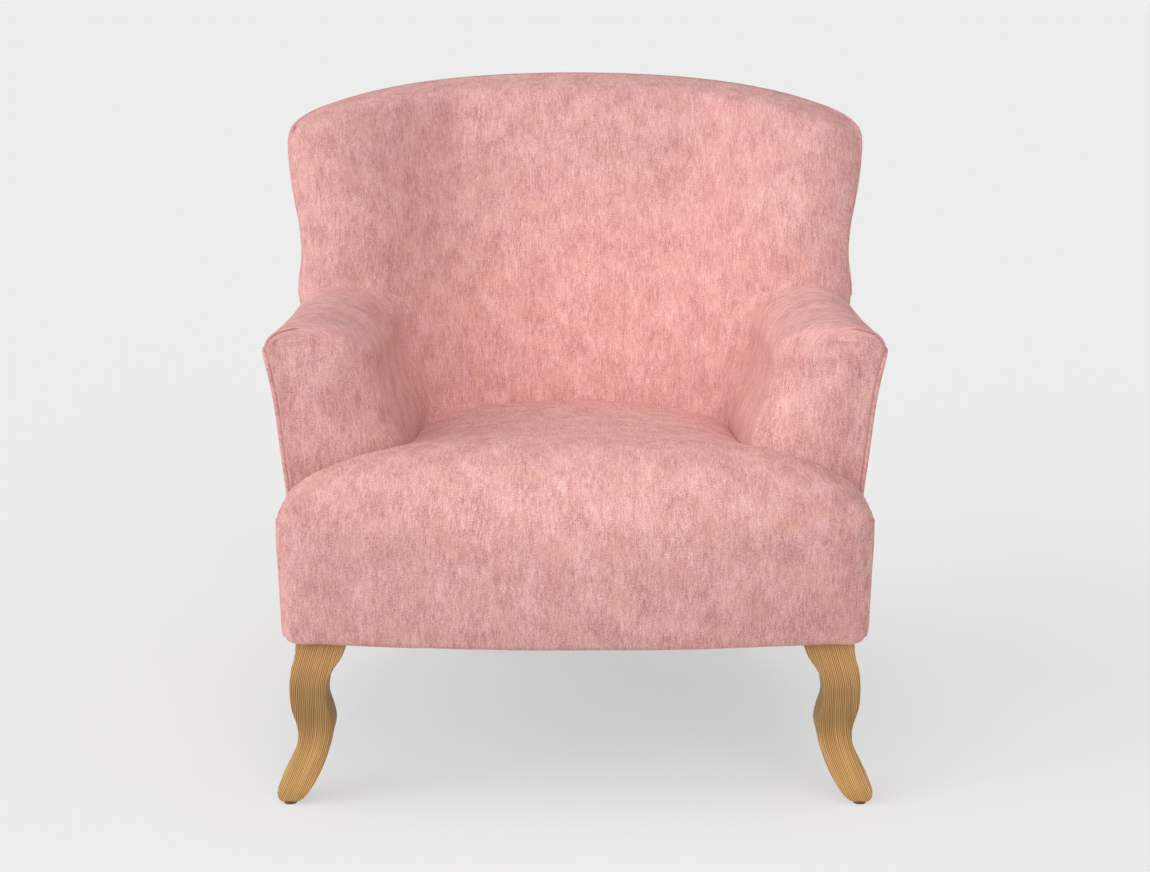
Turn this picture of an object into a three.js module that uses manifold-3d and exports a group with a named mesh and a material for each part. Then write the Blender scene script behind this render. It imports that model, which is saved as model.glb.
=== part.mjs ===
// A scallop back armchair: hardwood frame, wire sprung seat, foam padding,
// fitted covers with piped outer edges, and four oak legs.
// Millimetres. X runs across the chair, the front faces -Y, and the floor is Z = 0.
import * as THREE from 'three';
import { mergeVertices } from 'three/addons/utils/BufferGeometryUtils.js';
import Module from 'manifold-3d';

const wasm = await Module();
wasm.setup();

// Whole chair. Depths are measured back from the front plane of the chair.
const overallDepth = 760;
const frontY = -overallDepth / 2;
const backHalfWidth = 395; // widest half width of the back
const gap = 0.3; // between neighbouring pieces
const weldShare = 0.001; // share of the gap within which two corners are one
const overrun = 30; // how far a cutting body passes the face it opens
const coverThickness = 4; // fabric with its wadding
const legHeight = 200;
const dustThickness = 1.5;
const frameFoot = legHeight + gap + dustThickness + gap;
const railHeight = 80;
const railTop = frameFoot + railHeight;
const padFoot = railTop + gap;

// Back outline, seen from the front
const cornerHeight = 778; // where the sides meet the arch
const archRise = 68;
const cornerShare = 0.982;
const cornerHalfWidth = backHalfWidth * cornerShare;
const archPowerShare = 2.3;
const archCurveShare = 0.65;
// height between the floor and the corner, then half width
const backSideShares = [
  [0.23, 0.874], [0.46, 0.901], [0.56, 0.92], [0.63, 0.938], [0.685, 0.954], [0.728, 0.944],
  [0.77, 0.937], [0.82, 0.944], [0.885, 0.969], [0.925, 0.987], [0.965, 1.0], [1.0, 0.981],
];

// Back depths
const backDepth = 315; // from the side seams to the rear of the chair
const rearLean = 65;
const backThickness = 205; // from its face at the seat to the rear of the chair
const seamDepth = overallDepth - backDepth; // outer seam below the arm tops
const seamSweep = 95; // how far the seam leans back towards the corner
const seamTurnHeight = 540;
const seamPowerShare = 1.5;
const rearDepthLow = overallDepth - rearLean;
const tubDepth = overallDepth - backThickness; // face of the back where the seat meets it
const tubLean = 35;
const tubTopSweep = 60;
const tubHeight = 390;
const rollWidth = 50;
const rollLead = 20; // how far the side roll stands in front of its seam
const tubHalfHighHeight = 700;
const tubLowShare = 0.19;
const tubHighShare = 0.7;
const topRound = 25;
const frameZone = 48; // depth between the back foam and the outer face of the back
const foamLeast = 12;
const foamWidthShare = 0.9;
const sideReach = 60;
const topSeamGap = 6;
const seamGap = 6; // between the front cover and the outer panel at the side seam

// Arms
const armFront = 112;
const armTuck = 18; // how far the arm seam lies inside the widest part of the back
const armShoulder = 60;
const armWidth = 130;
const armSplay = 32;
const armSeamX = backHalfWidth - armTuck;
const armSeamHeight = 540;
const armCrownX = armSeamX - armShoulder;
const armCrownHeight = 576;
const armInnerHalf = armSeamX - armWidth;
const armInnerTop = 518;
const tubInnerHalf = armInnerHalf - armSplay; // inner face of the arm at the seat
const tubHalfLow = tubInnerHalf * tubLowShare; // half width of the flat middle of the back, low down
const tubHalfHigh = tubInnerHalf * tubHighShare;
const armInnerFoot = 390;
const armTopPowerShare = 2.4;
const armFrontRoundInner = 55;
const armFrontRoundTop = 16;
const armFrontRoundOuter = 13;
const panelThickness = 4;

// Seat
const seatSetback = 39;
const seatHalfWidth = backHalfWidth - seatSetback;
const seatShoulder = 352; // height where the front and sides start to roll over
const seatCrown = 428;
const crownDepth = 140;
const seatFall = 37;
const seatDome = 8;
const seatBow = 21;
const frontRoll = 100;
const sideRoll = 130;
const seatCorner = 20;
const seatTaper = 3;
const hemRound = 12;
const crevice = 40;
const creviceDrop = 14;
const deckHalf = tubInnerHalf - gap;
const wingBack = armFront - gap;

// Frame
const railThickness = 25;
const frontPad = 21; // padding in front of the front rail
const blockSize = 55;
const railSetback = 67;
const sideRailOuter = backHalfWidth - railSetback;
const blockInner = sideRailOuter - blockSize;
const blockFront = 34;
const rearBlockWidth = 104;
const rearBlockDepth = 260;
const rearBlockInner = sideRailOuter - rearBlockWidth;
const rearBlockFront = overallDepth - rearBlockDepth;
const armPostFront = 135;
const armPostDepth = 40;
const armRailTop = 530;
const armRailHeight = 25;
const armRailSpread = 12;
const armHollowWidth = 53;
const armRailOuter = sideRailOuter + armRailSpread;
const armHollowInner = sideRailOuter - armHollowWidth;
const tackHeight = 305;
const tackRailHeight = 30;
const postOffset = 27; // from the side of the back to the outer face of the post
const postWidth = 30;
const postLead = 35;
const postDepth = 45;
const topRailDrop = 48;
const topRailHeight = 40;
const strapWidth = 50;
const strapThickness = 2;
const strapPitchShare = 0.49;
const strapPitch = tubInnerHalf * strapPitchShare;

// Springs and lining
const wireRadius = 1.9;
const springRise = 8;
const springLoopShare = 0.1;
const springPitchShare = 0.49;
const springLoops = 7;
const bendShare = 0.25; // length of a bend at the end of each loop, as a share of half the loop's pitch
const hessianThickness = 1.5;
const hessianMargin = 10;
const hessianHalf = tubInnerHalf - hessianMargin;
const springHalfLoop = hessianHalf * springLoopShare;
const springPitch = hessianHalf * springPitchShare;
const springPlaces = [-1.5, -0.5, 0.5, 1.5].map((k) => k * springPitch);
const hessianSet = 6; // how far the lining and springs stay inside the rails
const springAxis = railTop + gap + wireRadius;
const hessianFoot = springAxis + springRise + wireRadius + gap;
const foamFoot = hessianFoot + hessianThickness + gap;

// Legs
const frontLegInset = 15;
const frontLegX = sideRailOuter - frontLegInset;
const frontLegDepth = 58;
const footReach = 46;
// height, then offset from the leg axis; outward is positive
const legOuterShares = [
  [0, 0.96], [0.054, 1.03], [0.108, 1], [0.18, 0.85], [0.27, 0.66], [0.36, 0.53], [0.45, 0.53],
  [0.593, 0.66], [0.72, 0.68], [0.835, 0.63], [0.9, 0.55], [1, 0.5],
];
const legInnerShares = [
  [0, 0.5], [0.045, 0.3], [0.108, 0.1], [0.18, -0.08], [0.27, -0.25], [0.36, -0.34], [0.45, -0.42],
  [0.54, -0.37], [0.65, -0.27], [0.755, -0.33], [0.835, -0.48], [0.9, -0.68], [1, -0.86],
];
const rearLegInset = 78;
const rearLegFore = 194; // from the top of the rear leg to the rear of the chair
const rearLegX = sideRailOuter - rearLegInset;
const rearLegDepth = overallDepth - rearLegFore;
const rearLegRake = 62;
const rearLegTop = 42;
const rearLegFoot = 28;
const rearLegBendShare = 1.2;
const glideRadius = 8;
const glideHeight = 3;
const boltRadius = 4;
const boltGrip = 38; // how far a bolt enters the leg, and its block
const boltTop = frameFoot + boltGrip;
const boltFoot = legHeight - boltGrip;
const soleShare = 0.73; // middle of the front foot, from the leg axis
const frontGlideX = frontLegX + soleShare * footReach;
const frontGlideDepth = frontLegDepth - soleShare * footReach;
const dustInset = 12;
const pipingRadius = 3.2;
const pipingSeat = 1.2; // clearance between the piping and the cover
const stand = pipingRadius + pipingSeat;
const pipingSides = 6;
const postTop = archHeight(backHalfWidth - postOffset) - topRailDrop - topRailHeight - gap;

const chair = new THREE.Group();

const fabric = { color: '#dca39e', roughness: 0.95, metalness: 0 };
const fabricDeep = { color: '#d1918c', roughness: 0.95, metalness: 0 };
const foam = { color: '#ece2c8', roughness: 0.9, metalness: 0 };
const lining = { color: '#2f2e30', roughness: 0.95, metalness: 0 };
const jute = { color: '#b79a6b', roughness: 0.95, metalness: 0 };
const elastic = { color: '#3c3a38', roughness: 0.8, metalness: 0 };
const beech = { color: '#cfae80', roughness: 0.7, metalness: 0 };
const oak = { color: '#c3955e', roughness: 0.5, metalness: 0 };
const steel = { color: '#8d8f92', roughness: 0.35, metalness: 1 };
const nylon = { color: '#3a3836', roughness: 0.5, metalness: 0 };

// Solids and meshes

function solidOf(points, index) {
  const geometry = new THREE.BufferGeometry();
  const places = points.flatMap((p) => [p.x, p.y, p.z]);
  geometry.setAttribute('position', new THREE.Float32BufferAttribute(places, 3));
  geometry.setIndex(index);
  return solidFrom(geometry);
}

function solidFrom(source) {
  const bare = source.clone();
  bare.deleteAttribute('normal');
  bare.deleteAttribute('uv');
  const merged = mergeVertices(bare, gap * weldShare);
  const place = merged.getAttribute('position');
  const faces = [];
  let volume = 0;
  for (let i = 0; i < merged.index.count; i += 3) {
    const [a, b, c] = [0, 1, 2].map((k) => merged.index.getX(i + k));
    if (a === b || b === c || c === a) continue;
    faces.push([a, b, c]);
    const [p, q, r] = [a, b, c].map((k) => new THREE.Vector3().fromBufferAttribute(place, k));
    volume += p.dot(q.cross(r));
  }
  const outward = faces.flatMap(([a, b, c]) => (volume > 0 ? [a, b, c] : [a, c, b]));
  return new wasm.Manifold(new wasm.Mesh({
    numProp: 3,
    vertProperties: new Float32Array(place.array),
    triVerts: new Uint32Array(outward),
  }));
}

function addPiece(name, body, finish) {
  const mesh = body.getMesh();
  const geometry = new THREE.BufferGeometry();
  geometry.setAttribute('position', new THREE.BufferAttribute(mesh.vertProperties, 3));
  geometry.setIndex(new THREE.BufferAttribute(mesh.triVerts, 1));
  geometry.computeVertexNormals();
  const piece = new THREE.Mesh(geometry, new THREE.MeshStandardMaterial(finish));
  piece.name = name;
  chair.add(piece);
}

// Rings of equal count joined side by side and, where they end open, closed with a fan.
function loft(rings, openEnds = true) {
  const count = rings[0].length;
  const points = rings.flat();
  const index = [];
  for (let i = 0; i + 1 < rings.length; i++) {
    for (let j = 0; j < count; j++) {
      const a = i * count + j;
      const b = i * count + ((j + 1) % count);
      index.push(a, b, b + count, a, b + count, a + count);
    }
  }
  for (const [first, flip] of openEnds ? [[0, true], [(rings.length - 1) * count, false]] : []) {
    const middle = new THREE.Vector3();
    for (let j = 0; j < count; j++) middle.addScaledVector(points[first + j], 1 / count);
    points.push(middle);
    for (let j = 0; j < count; j++) {
      const a = first + j;
      const b = first + ((j + 1) % count);
      index.push(...(flip ? [b, a, points.length - 1] : [a, b, points.length - 1]));
    }
  }
  return solidOf(points, index);
}

// The space between two grids of points that have the same rows and columns.
function sheet(front, rear) {
  const rows = front.length;
  const columns = front[0].length;
  const points = [...front.flat(), ...rear.flat()];
  const behind = rows * columns;
  const index = [];
  const at = (i, j) => i * columns + j;
  const quad = (a, b, c, d) => index.push(a, b, c, a, c, d);
  for (let i = 0; i + 1 < rows; i++) {
    for (let j = 0; j + 1 < columns; j++) {
      quad(at(i, j), at(i, j + 1), at(i + 1, j + 1), at(i + 1, j));
      quad(behind + at(i, j), behind + at(i + 1, j), behind + at(i + 1, j + 1), behind + at(i, j + 1));
    }
  }
  const rim = [];
  for (let j = 0; j + 1 < columns; j++) rim.push(at(0, j));
  for (let i = 0; i + 1 < rows; i++) rim.push(at(i, columns - 1));
  for (let j = columns - 1; j > 0; j--) rim.push(at(rows - 1, j));
  for (let i = rows - 1; i > 0; i--) rim.push(at(i, 0));
  rim.forEach((a, k) => {
    const b = rim[(k + 1) % rim.length];
    quad(b, a, behind + a, behind + b);
  });
  return solidOf(points, index);
}

// Moves a grid along its own normals; positive is towards the front.
function offsetGrid(grid, distance) {
  const last = grid.length - 1;
  return grid.map((row, i) => row.map((point, j) => {
    const end = row.length - 1;
    const across = new THREE.Vector3().subVectors(row[Math.min(j + 1, end)], row[Math.max(j - 1, 0)]);
    const up = new THREE.Vector3().subVectors(grid[Math.min(i + 1, last)][j], grid[Math.max(i - 1, 0)][j]);
    return point.clone().addScaledVector(across.cross(up).normalize(), distance);
  }));
}

function prism(outline, from, to) {
  const shape = new THREE.Shape(outline.map(([x, y]) => new THREE.Vector2(x, y)));
  const geometry = new THREE.ExtrudeGeometry(shape, { depth: to - from, bevelEnabled: false });
  return solidFrom(geometry.translate(0, 0, from));
}

function block(xFrom, xTo, depthFrom, depthTo, zFrom, zTo) {
  const geometry = new THREE.BoxGeometry(xTo - xFrom, depthTo - depthFrom, zTo - zFrom);
  const depth = frontY + (depthFrom + depthTo) / 2;
  return solidFrom(geometry.translate((xFrom + xTo) / 2, depth, (zFrom + zTo) / 2));
}

function rod(x, depth, zFrom, zTo, radius) {
  const sides = 12;
  const geometry = new THREE.CylinderGeometry(radius, radius, zTo - zFrom, sides);
  geometry.rotateX(Math.PI / 2);
  return solidFrom(geometry.translate(x, frontY + depth, (zFrom + zTo) / 2));
}

function tube(points, radius, sides, steps) {
  const corner = (k) => new THREE.Vector2(
    radius * Math.cos((2 * Math.PI * k) / sides),
    radius * Math.sin((2 * Math.PI * k) / sides),
  );
  const section = new THREE.Shape(Array.from({ length: sides }, (_, k) => corner(k)));
  const path = new THREE.CatmullRomCurve3(points, false, 'centripetal');
  return solidFrom(new THREE.ExtrudeGeometry(section, { steps, extrudePath: path, bevelEnabled: false }));
}

// Curves

function smooth(share) {
  const t = THREE.MathUtils.clamp(share, 0, 1);
  return t * t * (3 - 2 * t);
}

function quarter(share) {
  return Math.sqrt(Math.max(0, 1 - THREE.MathUtils.clamp(share, 0, 1) ** 2));
}

// Even places from one side to the other.
function spread(half, steps) {
  return Array.from({ length: steps + 1 }, (_, k) => THREE.MathUtils.lerp(-half, half, k / steps));
}

// A smooth curve through hand picked pairs, read at a place along the first value.
function through(shares, place) {
  const last = shares.length - 1;
  let i = 0;
  while (i < last - 1 && place > shares[i + 1][0]) i += 1;
  const [x0, y0] = shares[i];
  const [x1, y1] = shares[i + 1];
  const slope = (k) => {
    const [a, b] = [shares[Math.max(k - 1, 0)], shares[Math.min(k + 1, last)]];
    return (b[1] - a[1]) / (b[0] - a[0]);
  };
  const t = THREE.MathUtils.clamp((place - x0) / (x1 - x0), 0, 1);
  const width = x1 - x0;
  return y0 * (1 + 2 * t) * (1 - t) ** 2 + slope(i) * width * t * (1 - t) ** 2
    + y1 * t * t * (3 - 2 * t) - slope(i + 1) * width * t * t * (1 - t);
}

// Back

function sideHalfWidth(z) {
  return backHalfWidth * through(backSideShares, Math.min(z / cornerHeight, 1));
}

function archHeight(x) {
  const s = Math.min(Math.abs(x) / cornerHalfWidth, 1);
  return cornerHeight + archRise * (1 - s ** archPowerShare) ** archCurveShare;
}

function seamAt(z) {
  const t = THREE.MathUtils.clamp((z - seamTurnHeight) / (cornerHeight - seamTurnHeight), 0, 1);
  return seamDepth + seamSweep * t ** seamPowerShare;
}

function rearCentre(z) {
  const t = (z - frameFoot) / (cornerHeight + archRise - frameFoot);
  return THREE.MathUtils.lerp(rearDepthLow, overallDepth, t);
}

// Rear face of the back at a share of its width and at a height on its side edge.
function rearDepth(share, z, sideZ) {
  return seamAt(sideZ) + (rearCentre(z) - seamAt(sideZ)) * quarter(Math.abs(share));
}

function tubFace(share, z, sideZ) {
  const t = Math.max(0, (z - tubHeight) / (cornerHeight + archRise - tubHeight));
  const middle = tubDepth + tubLean * t + tubTopSweep * t ** 3;
  const width = sideHalfWidth(sideZ);
  const x = Math.abs(share) * width;
  const rise = THREE.MathUtils.clamp((z - tubHeight) / (tubHalfHighHeight - tubHeight), 0, 1);
  const flat = THREE.MathUtils.lerp(tubHalfLow, tubHalfHigh, rise);
  const crest = seamAt(sideZ) - rollLead;
  if (x > width - rollWidth) {
    return crest + rollLead * (1 - quarter((x - width + rollWidth) / rollWidth));
  }
  const q = THREE.MathUtils.clamp((x - flat) / (width - rollWidth - flat), 0, 1);
  return middle + (crest - middle) * (1 - Math.cos(Math.PI * q)) / 2;
}

// A point of the back at a share of its width and a share of its height above its foot.
function backPoint(foot, share, rise, depthAt) {
  const sideZ = foot + (cornerHeight - foot) * rise;
  const x = share * sideHalfWidth(sideZ);
  const z = foot + (archHeight(x) - foot) * rise;
  return new THREE.Vector3(x, frontY + depthAt(share, z, sideZ, rise), z);
}

const frontColumnShares = [0, 0.16, 0.32, 0.46, 0.58, 0.69, 0.79, 0.87, 0.925, 0.97, 0.993, 1];
const frontRowShares = [0, 0.2, 0.34, 0.46, 0.54, 0.62, 0.71, 0.8, 0.88, 0.95, 1];
const topShare = topRound / (cornerHeight + archRise - foamFoot);

function mirrored(shares) {
  return [...shares.slice(1).reverse().map((s) => -s), ...shares];
}

// The front face rolls over the top edge and ends at the seam along the rear.
function frontDepth(share, z, sideZ, rise) {
  const roll = 1 - (1 - rise) / topShare;
  return THREE.MathUtils.lerp(rearDepth(share, z, sideZ), tubFace(share, z, sideZ), quarter(roll));
}

function frontGrid() {
  const turns = 3;
  const straight = frontRowShares.map((s) => s * (1 - topShare));
  const rolled = Array.from({ length: turns }, (_, k) => (
    1 - topShare * (1 - Math.sin((Math.PI / 2) * ((k + 1) / turns)))
  ));
  return [...straight, ...rolled].map((rise) => (
    mirrored(frontColumnShares).map((share) => backPoint(foamFoot, share, rise, frontDepth))
  ));
}

// Rear face of the back between its side seams, from the foot to just under the top seam.
const rearRowShares = [0, 0.25, 0.45, 0.57, 0.64, 0.7, 0.76, 0.83, 0.9, 0.96, 1];

function rearGrid() {
  const columns = 16;
  const reach = (Math.PI / 2) * (1 - seamGap / (rearDepthLow - seamDepth));
  return rearRowShares.map((rise) => spread(reach, columns).map((angle) => {
    const point = backPoint(frameFoot, Math.sin(angle), rise, rearDepth);
    point.z -= topSeamGap * rise;
    return point;
  }));
}

function shiftedBack(grid, depth) {
  return grid.map((row) => row.map((p) => new THREE.Vector3(p.x, p.y + depth, p.z)));
}

// Everything behind the front face of the back, moved forward by a clearance.
function behindBack(clearance) {
  const wide = (p, side) => new THREE.Vector3(p.x + side * sideReach, p.y, p.z);
  const face = offsetGrid(frontGrid(), clearance).map((row) => (
    [wide(row[0], -1), ...row, wide(row[row.length - 1], 1)]
  ));
  const foot = face[0].map((p) => new THREE.Vector3(p.x, p.y, foamFoot - clearance));
  const front = [foot, ...face];
  return sheet(front, front.map((row) => row.map((p) => new THREE.Vector3(p.x, overallDepth, p.z))));
}

// Everything outside the outer panel of the back, moved inward by a clearance.
function outsideRear(clearance) {
  const skin = offsetGrid(rearGrid(), panelThickness + clearance);
  const moved = (row, rise) => row.map((p) => new THREE.Vector3(p.x, p.y, p.z + rise));
  const tall = [moved(skin[0], -overrun), ...skin, moved(skin[skin.length - 1], overrun)];
  return sheet(tall, shiftedBack(tall, overallDepth));
}

function insideBackCover() {
  const face = frontGrid();
  return sheet(face, offsetGrid(face, -coverThickness));
}

function outsideBack() {
  const face = rearGrid();
  return sheet(offsetGrid(face, panelThickness), face);
}

// Depth of the outer face of the back at a place on it.
function rearFaceAt(x, z) {
  const share = (z - frameFoot) / (archHeight(x) - frameFoot);
  const sideZ = frameFoot + (cornerHeight - frameFoot) * share;
  return rearDepth(Math.min(1, Math.abs(x) / sideHalfWidth(sideZ)), z, sideZ);
}

// Arms, drawn for the +X side and mirrored for the other

const armSideShares = [0, 0.35, 0.6, 0.78, 0.9, 1];

function armSideLevels() {
  return armSideShares.map((s) => THREE.MathUtils.lerp(padFoot, armSeamHeight - gap, s));
}

// One open outline over the arm from its outer foot to its inner foot, with the
// radius that the front edge takes at each point.
function armOutline(inset, foot) {
  const line = [];
  for (const z of foot < padFoot ? [foot, ...armSideLevels()] : armSideLevels()) {
    line.push({ x: sideHalfWidth(z) - panelThickness - gap - inset, z, round: armFrontRoundOuter });
  }
  const turns = 5;
  for (let k = 0; k <= turns; k++) {
    const angle = (Math.PI / 2) * (k / turns);
    line.push({
      x: armCrownX + (armSeamX - armCrownX - inset) * Math.cos(angle),
      z: armSeamHeight + (armCrownHeight - armSeamHeight - inset) * Math.sin(angle),
      round: THREE.MathUtils.lerp(armFrontRoundOuter, armFrontRoundTop, k / turns),
    });
  }
  for (let k = 1; k <= turns; k++) {
    const angle = (Math.PI / 2) * (k / turns);
    const power = 2 / armTopPowerShare;
    line.push({
      x: armCrownX - (armCrownX - armInnerHalf - inset) * Math.sin(angle) ** power,
      z: armInnerTop + (armCrownHeight - armInnerTop - inset) * Math.cos(angle) ** power,
      round: THREE.MathUtils.lerp(armFrontRoundTop, armFrontRoundInner, k / turns),
    });
  }
  for (let k = 1; k <= turns; k++) {
    const z = THREE.MathUtils.lerp(armInnerTop, armInnerFoot, k / turns);
    const x = THREE.MathUtils.lerp(armInnerHalf, tubInnerHalf, smooth(k / turns)) + inset;
    line.push({ x, z, round: armFrontRoundInner });
  }
  line.push({ x: tubInnerHalf + inset, z: foot, round: armFrontRoundInner });
  return line;
}

function armForm(side, inset, foot) {
  const line = armOutline(inset, foot);
  const normals = line.map((_, j) => {
    const a = line[Math.max(j - 1, 0)];
    const b = line[Math.min(j + 1, line.length - 1)];
    return new THREE.Vector2(b.z - a.z, a.x - b.x).normalize();
  });
  const ring = (depthOf, cut) => line.map((p, j) => new THREE.Vector3(
    side * (p.x - normals[j].x * cut(p)),
    frontY + depthOf(p),
    p.z - normals[j].y * cut(p),
  ));
  const turns = 5;
  const rings = [];
  for (let k = 0; k <= turns; k++) {
    const angle = (Math.PI / 2) * (k / turns);
    const radius = (p) => p.round - inset;
    rings.push(ring(
      (p) => armFront + inset + radius(p) * (1 - Math.cos(angle)),
      (p) => radius(p) * (1 - Math.sin(angle)),
    ));
  }
  for (const depth of [armFront + armFrontRoundInner + inset + gap, seamDepth + seamSweep]) {
    rings.push(ring(() => depth, () => 0));
  }
  return loft(rings);
}

// The hollow of the arm that its frame stands in.
function armHollow(side, clearance) {
  return sideBlock(
    side, armHollowInner - clearance, armSeamX,
    armPostFront - clearance, overallDepth, padFoot - overrun, armRailTop + clearance,
  );
}

function sideBlock(side, xFrom, xTo, depthFrom, depthTo, zFrom, zTo) {
  const [near, far] = side > 0 ? [xFrom, xTo] : [-xTo, -xFrom];
  return block(near, far, depthFrom, depthTo, zFrom, zTo);
}

function armCover(side) {
  const inside = armForm(side, coverThickness, padFoot - overrun);
  const rear = armFront + armFrontRoundInner;
  const open = sideBlock(
    side, armHollowInner, armSeamX + overrun,
    rear, overallDepth, padFoot - overrun, armRailTop - armRailHeight,
  );
  return armForm(side, 0, padFoot).subtract(inside).subtract(open).subtract(behindBack(gap));
}

function armFoam(side) {
  const body = armForm(side, coverThickness + gap, padFoot);
  return body.subtract(armHollow(side, gap)).subtract(behindBack(gap));
}

function outsideArm(side) {
  const heights = [frameFoot, ...armSideLevels()];
  heights[heights.length - 1] -= gap;
  const front = armFront + pipingSeat + 2 * pipingRadius + gap;
  const depths = [front, seamDepth];
  const face = (inset) => heights.map((z) => depths.map((depth) => (
    new THREE.Vector3(side * (sideHalfWidth(z) - inset), frontY + depth, z)
  )));
  return sheet(face(0), face(panelThickness)).subtract(behindBack(gap));
}

// Seat

function seatFront(x, inset) {
  const round = seatCorner - inset;
  const over = (Math.abs(x) - seatHalfWidth + inset + round) / round;
  return seatBow * (x / seatHalfWidth) ** 2 + inset + (over > 0 ? round * (1 - quarter(over)) : 0);
}

function seatHeight(x, depth, inset) {
  const wide = Math.abs(x);
  const fall = seatFall * Math.max(0, (depth - crownDepth) / (tubDepth - crownDepth));
  const crown = seatCrown - inset - fall - seatDome * (x / tubInnerHalf) ** 2;
  const dip = wide > deckHalf ? 0 : creviceDrop * (1 - quarter((wide - deckHalf + crevice) / crevice));
  const side = quarter((wide - seatHalfWidth + inset + sideRoll) / sideRoll);
  const front = quarter(1 - (depth - seatFront(x, inset)) / frontRoll);
  const back = smooth((depth - armFront) / frontRoll);
  return seatShoulder + (crown - seatShoulder) * side * front - dip * back;
}

// Sides and front draw in towards the hem, and the hem itself is rounded.
function hemmed(x, depth, z, isFront) {
  const low = THREE.MathUtils.clamp((frameFoot + hemRound - z) / hemRound, 0, 1);
  const hem = hemRound * (1 - quarter(low));
  const taper = seatTaper * THREE.MathUtils.clamp((seatShoulder - z) / (seatShoulder - frameFoot), 0, 1);
  const edge = smooth((Math.abs(x) - seatHalfWidth + sideRoll / 2) / (sideRoll / 2));
  return new THREE.Vector3(
    x - Math.sign(x) * (hem + taper) * edge,
    frontY + depth + (isFront ? hem * (1 - edge) : 0),
    z,
  );
}

const deckStationShares = [0, 0.32, 0.62, 0.82, 0.93, 1];
const deckDepthShares = [0, 0.08, 0.25, 0.45, 0.65, 0.85, 1];
const wingStationShares = [0.2, 0.42, 0.62, 0.78, 0.89, 0.96, 0.99, 1];
const wallShares = [0, 0.03, 0.08, 0.25, 0.6, 1];
const rollShares = [0.04, 0.14, 0.3, 0.5, 0.75, 1];

// Closes an upright side of the seat along its middle line.
function drawnIn(ring) {
  const middle = ring.reduce((sum, p) => sum + p.y, 0) / ring.length;
  return ring.map((p) => new THREE.Vector3(p.x, middle, p.z));
}

// The loaf across the front of the seat, as upright profiles from side to side.
function seatWings(inset, foot) {
  const deck = deckHalf - inset;
  const reach = seatHalfWidth - inset - deck;
  const stations = mirrored([
    ...deckStationShares.map((s) => s * deck),
    ...wingStationShares.map((s) => deck + s * reach),
  ]);
  const rings = stations.map((x) => {
    const front = seatFront(x, inset);
    const back = wingBack - inset;
    const roll = Math.min(frontRoll, back - front);
    const levels = wallShares.map((s) => THREE.MathUtils.lerp(frameFoot, seatShoulder, s));
    const wall = [foot, ...levels].map((z) => hemmed(x, front, z, true));
    const crown = rollShares.map((s) => {
      const depth = front + roll * s;
      return hemmed(x, depth, seatHeight(x, depth, inset), false);
    });
    const rim = hemmed(x, back, seatHeight(x, back, inset), false);
    const rear = [...levels.toReversed(), foot].map((z) => hemmed(x, back, z, false));
    return [...wall, ...crown, rim, ...rear];
  });
  return loft([drawnIn(rings[0]), ...rings, drawnIn(rings[rings.length - 1])], false);
}

// The deck between the arms, which runs on under the back.
function seatDeck(inset, foot) {
  const stations = mirrored(deckStationShares.map((s) => s * (deckHalf - inset)));
  const depths = deckDepthShares.map((s) => (
    THREE.MathUtils.lerp(wingBack - inset, tubDepth + overrun, s)
  ));
  return loft(stations.map((x) => [
    new THREE.Vector3(x, frontY + depths[0], foot),
    ...depths.map((depth) => new THREE.Vector3(x, frontY + depth, seatHeight(x, depth, inset))),
    new THREE.Vector3(x, frontY + depths[depths.length - 1], foot),
  ]));
}

function seatForm(inset, hem, deckFoot) {
  return seatWings(inset, hem).add(seatDeck(inset, deckFoot));
}

// The room that the base frame takes, with a clearance around it.
function frameRoom(clearance) {
  const outline = [];
  const steps = 12;
  for (const x of spread(blockInner, steps)) {
    outline.push([x, frontY + seatFront(x, 0) + frontPad - clearance]);
  }
  const side = sideRailOuter + clearance;
  const front = frontY + blockFront - clearance;
  outline.push([blockInner, front], [side, front], [side, overallDepth], [-side, overallDepth]);
  outline.push([-side, front], [-blockInner, front]);
  return prism(outline, frameFoot - overrun, railTop + clearance);
}

function seatCover() {
  const inside = seatForm(coverThickness, frameFoot - overrun, padFoot - overrun);
  const body = seatForm(0, frameFoot, padFoot).subtract(inside);
  return body.subtract(frameRoom(gap)).subtract(behindBack(gap));
}

function hessian(clearance) {
  const half = hessianHalf + clearance;
  const sheetBody = block(
    -half, half, blockFront + hessianSet - clearance, overallDepth - clearance,
    hessianFoot - clearance, hessianFoot + hessianThickness + clearance,
  );
  return sheetBody.subtract(outsideRear(hessianSet - clearance));
}

function seatFoam() {
  const body = seatForm(coverThickness + gap, frameFoot, padFoot);
  const springRoom = block(
    -hessianHalf - gap, hessianHalf + gap,
    blockFront + hessianSet - gap, overallDepth, padFoot - overrun, foamFoot,
  );
  return body.subtract(frameRoom(gap)).subtract(springRoom).subtract(behindBack(gap));
}

// Base frame

function frontRail() {
  const half = blockInner - gap;
  const steps = 12;
  const outline = [];
  for (const x of spread(half, steps)) outline.push([x, frontY + seatFront(x, 0) + frontPad]);
  const rear = frontY + blockFront + railThickness;
  outline.push([half, rear], [-half, rear]);
  return prism(outline, frameFoot, railTop);
}

function sideRail(side) {
  const front = blockFront + blockSize + gap;
  const inner = sideRailOuter - railThickness;
  const rail = sideBlock(side, inner, sideRailOuter, front, rearDepthLow, frameFoot, railTop);
  return rail.subtract(outsideRear(gap));
}

function rearRail() {
  const half = rearBlockInner - gap;
  const steps = 12;
  const line = (inset) => spread(half, steps).map((x) => (
    [x, frontY + rearFaceAt(x, frameFoot) - inset]
  ));
  const outline = [...line(panelThickness + gap + railThickness), ...line(0).reverse()];
  return prism(outline, frameFoot, railTop).subtract(outsideRear(gap));
}

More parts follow.
